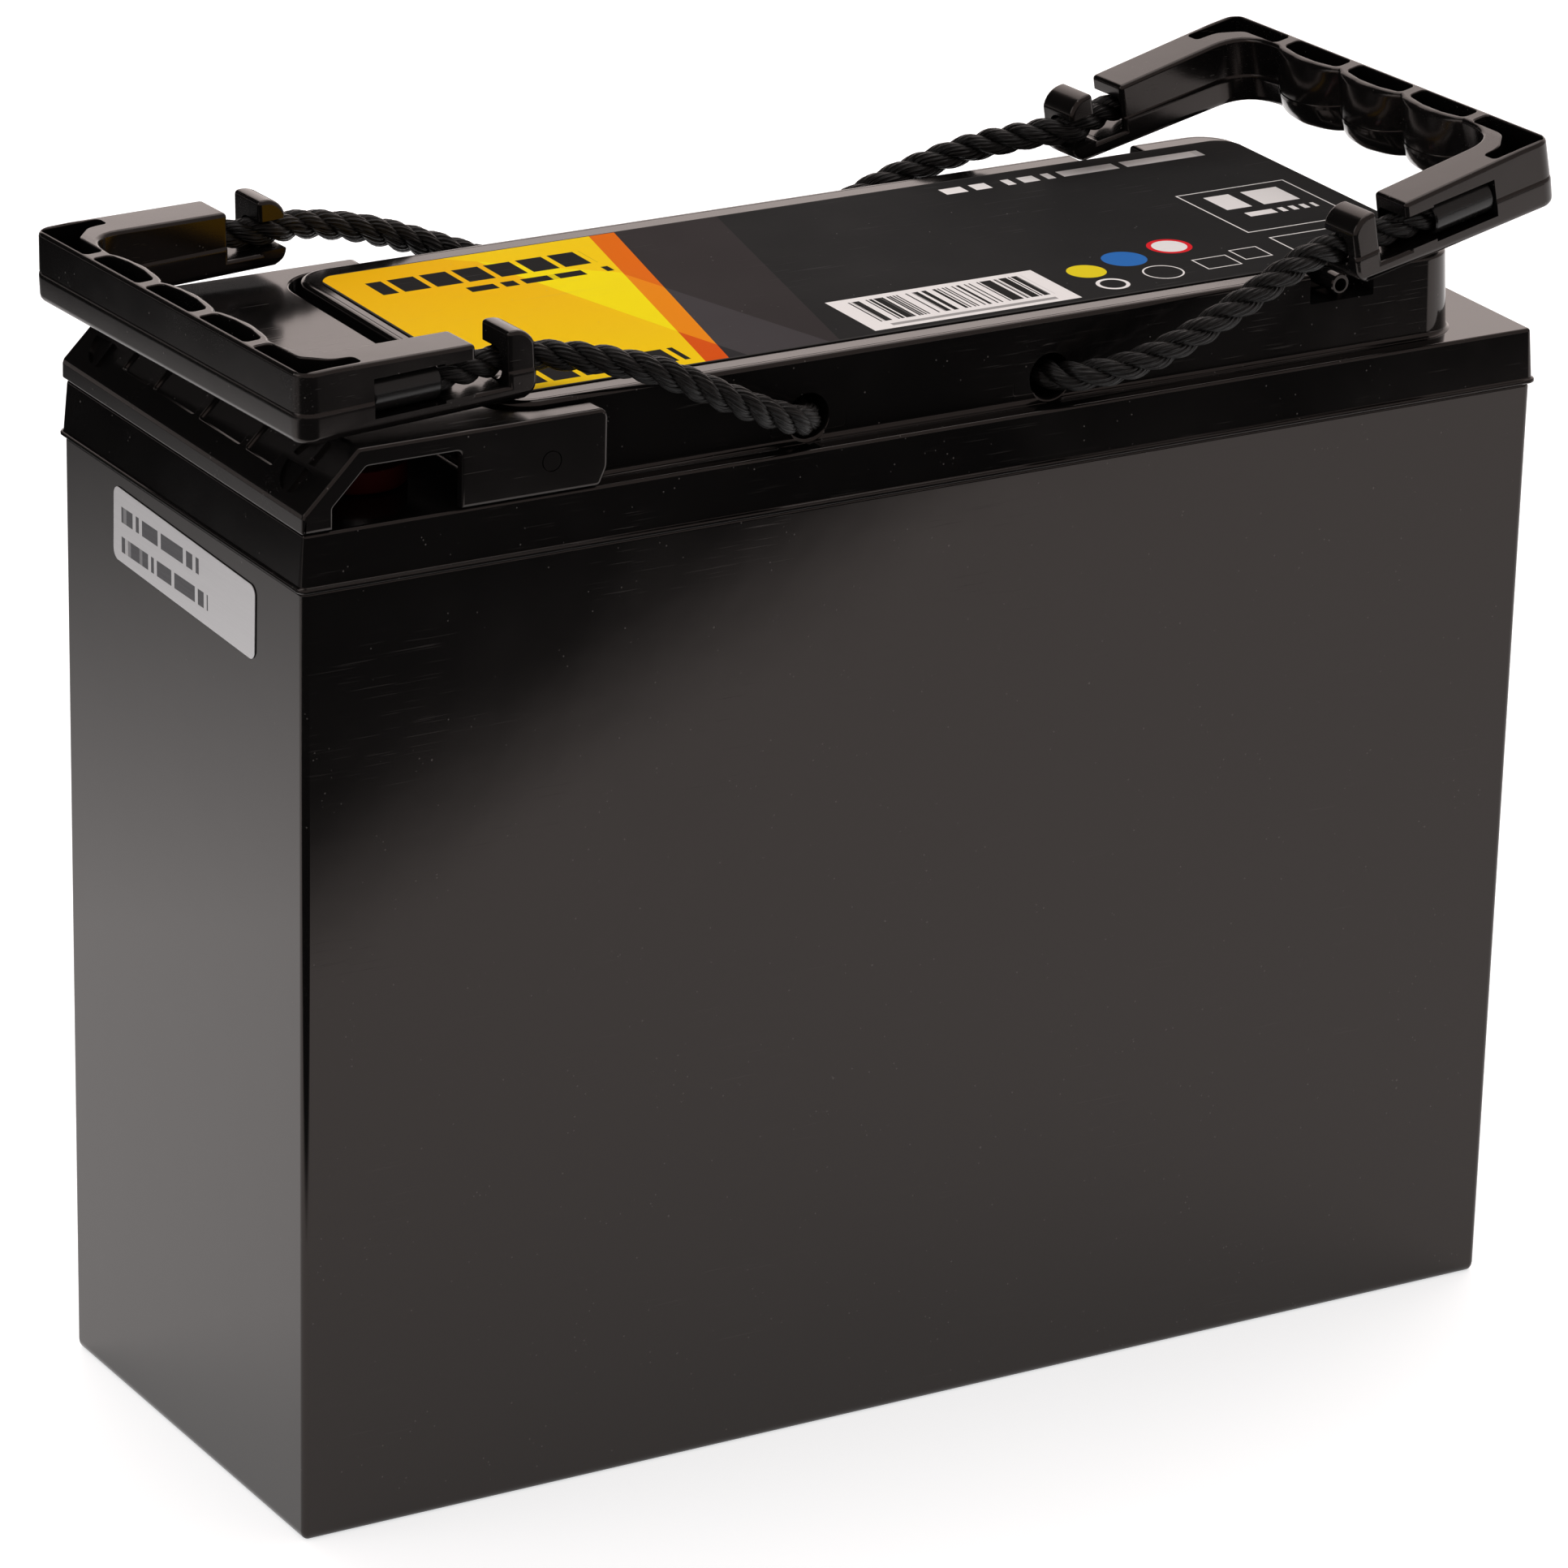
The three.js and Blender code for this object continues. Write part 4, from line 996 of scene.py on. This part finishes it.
def top_label_film():
    """Black film: slanted yellow, orange and grey fields, blank blocks for lettering, a bar pattern and signs."""
    film = Print("top_label_film")
    ink = film.noise(900.0, 2.0)
    plain = film.blend(ink, (0.0205, 0.021, 0.0215), (0.023, 0.0235, 0.024))
    upper = film.beyond(0.2762, -30.0)
    lower = film.beyond(0.274, -48.0)
    facet = film.blend(upper, (0.056, 0.052, 0.056), (0.037, 0.033, 0.034))
    facet = film.blend(lower, (0.027, 0.027, 0.029), facet)
    orange = film.blend(upper, (0.85, 0.27, 0.008), (0.77, 0.16, 0.007))
    orange = film.blend(lower, (0.7, 0.095, 0.006), orange)
    bright = film.times(film.beyond(0.2507, -47.5), film.minus(1.0, film.beyond(1.19, -15.4)))
    deep = film.blend(film.step(film.y, -38, 30), (0.93, 0.64, 0.006), (0.89, 0.5, 0.007))
    yellow = film.blend(bright, deep, (0.95, 0.79, 0.007))
    yellow = film.blend(film.beyond(1.19, -15.4), yellow, (0.93, 0.64, 0.008))
    color = film.blend(film.beyond(-0.2255, -8.0), facet, plain)
    color = film.blend(film.beyond(-0.2367, -32.0), orange, color)
    color = film.blend(film.beyond(-0.2285, -37.4), yellow, color)
    letters = film.add("ShaderNodeMath", {"operation": "WRAP"}, i0=film.x, i1=-0.2, i2=6.9)
    letters = film.step(film.math("ABSOLUTE", film.minus(letters.outputs[0], 3.35)), 2.95, 2.85)
    title = film.most(film.times(film.rect(-82.4, -35, 23.5, 31.5), letters),
                      film.times(film.rect(-82.4, -48, -36.5, -29), letters))
    title = film.most(title, film.words(-66, -34, 17.6, 20.6, 1.5, 3))
    color = film.blend(title, color, (0.018, 0.018, 0.018))
    panel = film.rect(-7.9, 39, -37.6, -18.4)
    bar = film.math("FLOOR", film.math("DIVIDE", film.x, 0.36))
    chance = film.add("ShaderNodeTexWhiteNoise", {"noise_dimensions": "1D"}, W=bar).outputs["Value"]
    bars = film.times(film.rect(-4.2, 36.0, -33.2, -20.4), film.above(chance, 0.47))
    layers = [(panel, WHITE_INK), (bars, (0.02, 0.02, 0.02)),
              (film.rect(-3, 34.5, -36.2, -34.9), (0.35, 0.35, 0.35)),
              (film.disc(48.5, -24.0, 4.0), (0.80, 0.66, 0.02)), (film.disc(59.5, -20.5, 4.6), (0.03, 0.16, 0.50)),
              (film.disc(72.0, -17.5, 4.6), (0.72, 0.02, 0.03)), (film.disc(72.0, -17.5, 3.6), (0.84, 0.84, 0.84))]
    white = film.most(
        film.minus(film.disc(62, -31, 4.2), film.disc(62, -31, 3.85)),
        film.minus(film.disc(49, -33, 3.4), film.disc(49, -33, 2.6)),
        film.outline(71, 79, -33.5, -27), film.outline(81, 87.5, -31.5, -25),
        film.outline(91, 117, -17, 10, 0.35), film.outline(93, 117, -38, -21.4, 0.35),
        film.words(95.5, 113, -2.5, 6.5, 2.9, 11), film.words(97, 114, -8.2, -5.6, 1.3, 17),
        film.words(50, 112, 31.2, 34.8, 1.9, 31))
    for mask, paint in layers + [(white, WHITE_INK)]:
        color = film.blend(mask, color, paint)
    edge = film.rect(-89.1, 122.2, -39.2, 38.9)
    color = film.blend(edge, (0.05, 0.05, 0.05), color)
    wear = film.hairlines(2100.0, (5, 9, 31), 0.69, 26.0)
    color = film.blend(film.times(wear, 0.07), color, (0.3, 0.3, 0.3))
    color = film.blend(film.times(film.specks(520.0, 0.1, 0.38), 0.3), color, (0.5, 0.5, 0.5))
    gloss = film.gloss(film.noise(30.0, 3.0), 0.42, 0.56)
    normal = film.bump(film.noise(700.0, 2.0), 0.00003, 0.3)
    return film.close(color, gloss, normal, IOR=1.03)


def end_label_foil():
    """Silver foil with brushed grain and two lines of blank blocks."""
    foil = Print("end_label_foil", shift=(0, 1.6, -184))
    grain = foil.noise(1.0, 2.0, 0.6, foil.scaled(900, 120, 4200))
    base = foil.blend(grain, (0.5, 0.5, 0.51), (0.6, 0.6, 0.61))
    marks = foil.most(foil.words(-10.5, 26.5, 1.5, 4.7, 1.35, 5, foil.y, foil.z),
                      foil.words(-10.5, 26.5, -4.6, -1.4, 1.25, 9, foil.y, foil.z))
    color = foil.blend(marks, base, (0.05, 0.05, 0.055))
    gloss = foil.plus(foil.gloss(grain, 0.3, 0.42), foil.times(marks, 0.15))
    normal = foil.bump(grain, 0.00002, 0.5)
    return foil.close(color, gloss, normal, foil.minus(0.55, foil.times(marks, 0.5)), IOR=1.5)


def metal(name, dark, light, low, high, tarnish, grain=(900, 900, 900)):
    """Bare metal with machining lines along its grain and clouds of tarnish."""
    mat = Finish(name)
    lines = mat.noise(1.0, 3.0, 0.6, mat.scaled(*grain))
    cloud = mat.noise(160.0, 3.0, 0.6)
    color = mat.blend(mat.step(cloud, 0.5, 0.75, 0.0, 0.55), mat.blend(lines, dark, light), tarnish)
    gloss = mat.plus(mat.gloss(lines, low, high), mat.step(cloud, 0.45, 0.8, 0.0, 0.12))
    normal = mat.bump(lines, 0.00002, 0.5)
    return mat.close(color, gloss, normal, 1.0)


def satin_plastic(name, dark, light, roughness, peel=0.3, scale=700.0, ior=1.48):
    mat = Finish(name)
    cloud = mat.noise(90.0, 3.0)
    color = mat.blend(cloud, dark, light)
    dust = mat.times(mat.specks(800.0, 0.12, 0.4), 0.4)
    color = mat.blend(mat.times(dust, 0.3), color, (0.4, 0.38, 0.36))
    gloss = mat.gloss(cloud, roughness - 0.06, roughness + 0.06)
    return mat.close(color, gloss, mat.bump(mat.noise(scale, 2.0), 0.00005, peel), IOR=ior)


def ferrule_sleeve():
    """Satin black sleeve with faint lengthwise draw marks."""
    mat = Finish("ferrule_sleeve")
    drawn = mat.noise(1.0, 2.0, 0.5, mat.scaled(260, 3200, 3200))
    cloud = mat.noise(220.0, 3.0)
    color = mat.blend(cloud, (0.0025, 0.0025, 0.0025), (0.005, 0.0048, 0.0046))
    color = mat.blend(mat.times(mat.step(drawn, 0.66, 0.78), 0.15), color, (0.03, 0.029, 0.028))
    gloss = mat.gloss(drawn, 0.2, 0.28)
    return mat.close(color, gloss, mat.bump(drawn, 0.00001, 0.3), IOR=1.42)


def cell_film():
    """Blue shrink film with soft creases."""
    mat = Finish("cell_film")
    crease = mat.noise(1.0, 4.0, 0.6, mat.scaled(60, 60, 220))
    # painted shade: the blue is darker in the low parts of the crease bump
    color = mat.blend(crease, (0.025, 0.09, 0.3), (0.04, 0.15, 0.42))
    color = mat.blend(mat.times(mat.specks(400.0, 0.1, 0.4), 0.3), color, (0.3, 0.35, 0.45))
    return mat.close(color, mat.gloss(crease, 0.22, 0.4), mat.bump(crease, 0.0003, 0.5), IOR=1.5)


def board_green():
    """Circuit board: lacquered tracks and tinned pads."""
    mat = Finish("board_green")
    tracks = mat.add("ShaderNodeTexBrick", Vector=mat.scaled(420, 420, 420), Scale=1.0)
    tracks.inputs["Color1"].default_value = (0.02, 0.17, 0.06, 1)
    tracks.inputs["Color2"].default_value = (0.015, 0.12, 0.045, 1)
    tracks.inputs["Mortar"].default_value = (0.03, 0.24, 0.09, 1)
    pads = mat.step(mat.cells(300.0), 0.16, 0.12)
    pads = mat.times(pads, mat.step(mat.noise(90.0), 0.5, 0.55))
    color = mat.blend(pads, tracks.outputs[0], (0.6, 0.6, 0.58))
    gloss = mat.gloss(mat.noise(500.0), 0.22, 0.34)
    return mat.close(color, gloss, mat.bump(mat.plus(pads, tracks.outputs[1]), 0.0001, 0.4), IOR=1.5)


def foam():
    mat = Finish("foam")
    pores = mat.cells(1700.0)
    # painted shade: the colour is darker at the pore centres, where the bump dips
    color = mat.blend(pores, (0.008, 0.008, 0.008), (0.05, 0.05, 0.05))
    return mat.close(color, mat.step(pores, 0.1, 0.6, 0.95, 0.8), mat.bump(pores, 0.0002, 0.8), IOR=1.4)


def epoxy_board():
    """Glass and resin board with its weave showing."""
    mat = Finish("epoxy_board")
    parts = mat.add("ShaderNodeSeparateXYZ", i0=mat.place).outputs
    weave = mat.times(*[mat.math("SINE", mat.times(part, 9000.0)) for part in (parts[0], parts[1])])
    color = mat.blend(mat.step(weave, -1.0, 1.0), (0.42, 0.33, 0.13), (0.55, 0.45, 0.2))
    color = mat.blend(mat.step(mat.noise(60.0), 0.5, 0.8, 0.0, 0.4), color, (0.36, 0.27, 0.1))
    return mat.close(color, mat.step(weave, -1.0, 1.0, 0.35, 0.45), mat.bump(weave, 0.00004, 0.4), IOR=1.5)


case_black = moulded_black("case_black", dust=0.2, scuffs=0.5)
lid_black = moulded_black("lid_black", dust=0.28, scuffs=0.6, low=0.08, high=0.16)
cover_black = moulded_black("cover_black", dust=0.3, scuffs=1.0, low=0.11, high=0.2)
grip_black = moulded_black("grip_black", dust=0.3, scuffs=1.2, low=0.13, high=0.24, peel=0.03, grain=0.15)
sleeve = ferrule_sleeve()
steel = metal("steel_fixings", (0.42, 0.43, 0.44), (0.62, 0.63, 0.64), 0.2, 0.34, (0.3, 0.29, 0.27))
brass = metal("brass_insert", (0.58, 0.42, 0.18), (0.74, 0.57, 0.28), 0.2, 0.34, (0.38, 0.25, 0.1))
copper = metal("copper_bar", (0.62, 0.32, 0.18), (0.76, 0.45, 0.28), 0.25, 0.4, (0.42, 0.2, 0.11), (160, 2600, 2600))
plate = metal("heat_plate", (0.5, 0.51, 0.52), (0.64, 0.65, 0.66), 0.28, 0.42, (0.42, 0.43, 0.44), (120, 3000, 3000))
red_ring = satin_plastic("red_collar", (0.018, 0.0006, 0.0006), (0.028, 0.001, 0.0008), 0.7, ior=1.12)
black_ring = satin_plastic("black_collar", (0.008, 0.008, 0.008), (0.016, 0.016, 0.016), 0.3)
red_sheath = satin_plastic("red_wire", (0.36, 0.008, 0.008), (0.48, 0.014, 0.012), 0.45, 0.4, 500.0)
black_sheath = satin_plastic("black_wire", (0.008, 0.008, 0.009), (0.018, 0.018, 0.019), 0.45, 0.4, 500.0)

settle(build_case(), "battery", "black_case", case_black, "case")
settle(build_lid(), "battery", "black_lid", lid_black, "lid")
settle(build_cover(), "terminal_cover", "black_cover", cover_black, "terminal_cover")
settle(build_top_label(), "battery", "top_label_film", top_label_film(), "top_label")
settle(build_end_label(), "battery", "end_label_foil", end_label_foil(), "end_label")
for pole, side, ring_finish, ring_slot in (("positive", -1, red_ring, "red_collar"),
                                           ("negative", 1, black_ring, "black_collar")):
    spot = Matrix.Translation(Vector((TERMINAL_X, side * TERMINAL_Y, 0)) * MM)
    for build, shape, slot, finish, node in (
            (build_turned, "insert", "brass_insert", brass, "terminal_insert"),
            (build_turned, "collar", ring_slot, ring_finish, "terminal_collar"),
            (build_turned, "flat_washer", "steel_fixings", steel, "flat_washer"),
            (build_spring_washer, "spring_washer", "steel_fixings", steel, "spring_washer"),
            (build_bolt, "head", "steel_fixings", steel, "terminal_bolt")):
        settle(move(build(shape), spot), "battery", slot, finish, f"{pole}_{node}")

grip_shape = build_grip()
for side, handle in HANDLES.items():
    frame_here = handle["frame"].copy()
    frame_here.translation *= MM
    grip = new_object(f"{side}_moulded_grip", grip_shape.data.copy())
    settle(move(grip, frame_here), handle["body"], "black_grip", grip_black, f"{side}_grip")
    for end_name, sign in (("near", -1), ("far", 1)):
        y = sign * handle["direct"] * 47.2
        ferrule = move(build_ferrule(y), frame_here)
        ferrule.name = f"{side}_{end_name}_sleeve"
        settle(ferrule, handle["body"], "ferrule_sleeve", sleeve, f"{side}_{end_name}_ferrule")
bpy.data.objects.remove(grip_shape, do_unlink=True)

# ---------- inner parts keep their drawn shapes ----------
INNER = {
    cell_film(): ["cell_1", "cell_2", "cell_3", "cell_4"],
    copper: ["front_busbar", "end_busbar", "rear_busbar"],
    board_green(): ["bms_board"],
    plate: ["bms_heat_plate"],
    steel: ["bms_screw_1", "bms_screw_2", "bms_screw_3", "bms_screw_4"],
    foam(): ["base_pad", "front_foam", "rear_foam"],
    epoxy_board(): ["insulation_board", "top_board"],
    red_sheath: ["positive_lead"],
    black_sheath: ["negative_lead", "board_lead"],
}
for material, names in INNER.items():
    for name in names:
        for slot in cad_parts[name].material_slots:
            slot.material = material


# ---------- floor, card and light ----------
def sheet_object(name, corners):
    mesh = bpy.data.meshes.new(name)
    mesh.from_pydata([Vector(c) for c in corners], [], [(0, 1, 2, 3)])
    sheet = new_object(name, mesh)
    return sheet


def floor_finish():
    mat = Finish("pale_floor")
    cloud = mat.noise(3.0, 3.0)
    color = mat.blend(cloud, (0.78, 0.79, 0.8), (0.8, 0.81, 0.82))
    return mat.close(color, mat.gloss(cloud, 0.75, 0.85), mat.bump(mat.noise(900.0), 0.00002, 0.2), IOR=1.4,
                     Specular_IOR_Level=0.1, Emission_Color=(0.93, 0.95, 0.96, 1), Emission_Strength=0.68)


def only_in_reflections(sheet):
    for ray in ("camera", "diffuse", "transmission", "volume_scatter", "shadow"):
        setattr(sheet, f"visible_{ray}", False)


def dark_card(name, heading, near_edge, full_edge):
    """A black card on the floor whose near edge fades out softly; it is only seen in reflections."""
    mat = Finish(name)
    away = mat.add("ShaderNodeVectorMath", {"operation": "DOT_PRODUCT"}, i0=mat.place)
    away.inputs[1].default_value = (*heading, 0)
    share = mat.step(away.outputs["Value"], near_edge, full_edge)
    mix = mat.add("ShaderNodeMixShader", i0=share)
    mat.feed(mix.inputs[1], mat.add("ShaderNodeBsdfTransparent").outputs[0])
    mat.feed(mix.inputs[2], mat.add("ShaderNodeBsdfDiffuse", Color=(0.002, 0.002, 0.002, 1)).outputs[0])
    mat.tree.links.new(mix.outputs[0], mat.out.inputs[0])
    ahead = Vector((*heading, 0))
    aside = Vector((-ahead.y, ahead.x, 0))
    lift = Vector((0, 0, 0.002))
    start, end, reach = near_edge - 0.05, 5, 3
    card = sheet_object(name, [ahead * far + aside * reach * side + lift
                               for far, side in ((start, -1), (end, -1), (end, 1), (start, 1))])
    card.data.materials.append(mat.material)
    only_in_reflections(card)


floor = sheet_object("floor", [(-6, -6, 0), (6, -6, 0), (6, 6, 0), (-6, 6, 0)])
floor.data.materials.append(floor_finish())
dark_card("front_card", heading=(-0.568, -0.823), near_edge=0.248, full_edge=0.292)
dark_card("left_card", heading=(-0.511, 0.859), near_edge=0.33, full_edge=0.76)
screen = sheet_object("left_screen", [(-3.2, 0.5, 0.3), (-0.2, 2.6, 0.3), (-0.2, 2.6, 3.6), (-3.2, 0.5, 3.6)])
screen_black = Finish("screen_black")
screen_black.close((0.004, 0.004, 0.004), 0.9, None, IOR=1.1)
screen.data.materials.append(screen_black.material)
only_in_reflections(screen)

world = bpy.data.worlds.new("studio")
world.use_nodes = True
sky = NodeTree(world.node_tree)
sky.tree.nodes.clear()
facing = sky.add("ShaderNodeVectorMath", {"operation": "DOT_PRODUCT"},
                 i0=sky.add("ShaderNodeTexCoord").outputs["Generated"])
facing.inputs[1].default_value = (0.476, 0.8, 0.36)
glow = sky.add("ShaderNodeMapRange", {"clamp": True}, i0=facing.outputs["Value"], i1=0.55, i2=0.97, i3=0.5, i4=1.7)
backdrop = sky.add("ShaderNodeBackground", Color=(1.0, 0.88, 0.84, 1), Strength=glow.outputs[0])
sky.add("ShaderNodeOutputWorld", i0=backdrop.outputs[0])
bpy.context.scene.world = world


def area_light(name, place, aim, size, power):
    data = bpy.data.lights.new(name, "AREA")
    data.shape = "RECTANGLE"
    data.size, data.size_y = size
    data.energy = power
    light = new_object(name, data)
    light.location = place
    light.rotation_euler = (Vector(aim) - Vector(place)).to_track_quat("-Z", "Y").to_euler()


area_light("overhead_box", (0.2, 0.3, 1.5), (0, 0, 0.1), (1.2, 0.9), 4)
area_light("left_box", (-1.3, 0.2, 0.9), (0, 0, 0.12), (0.8, 0.8), 2.4)
bpy.context.scene.view_settings.view_transform = "Standard"
bpy.context.scene.view_settings.look = "None"
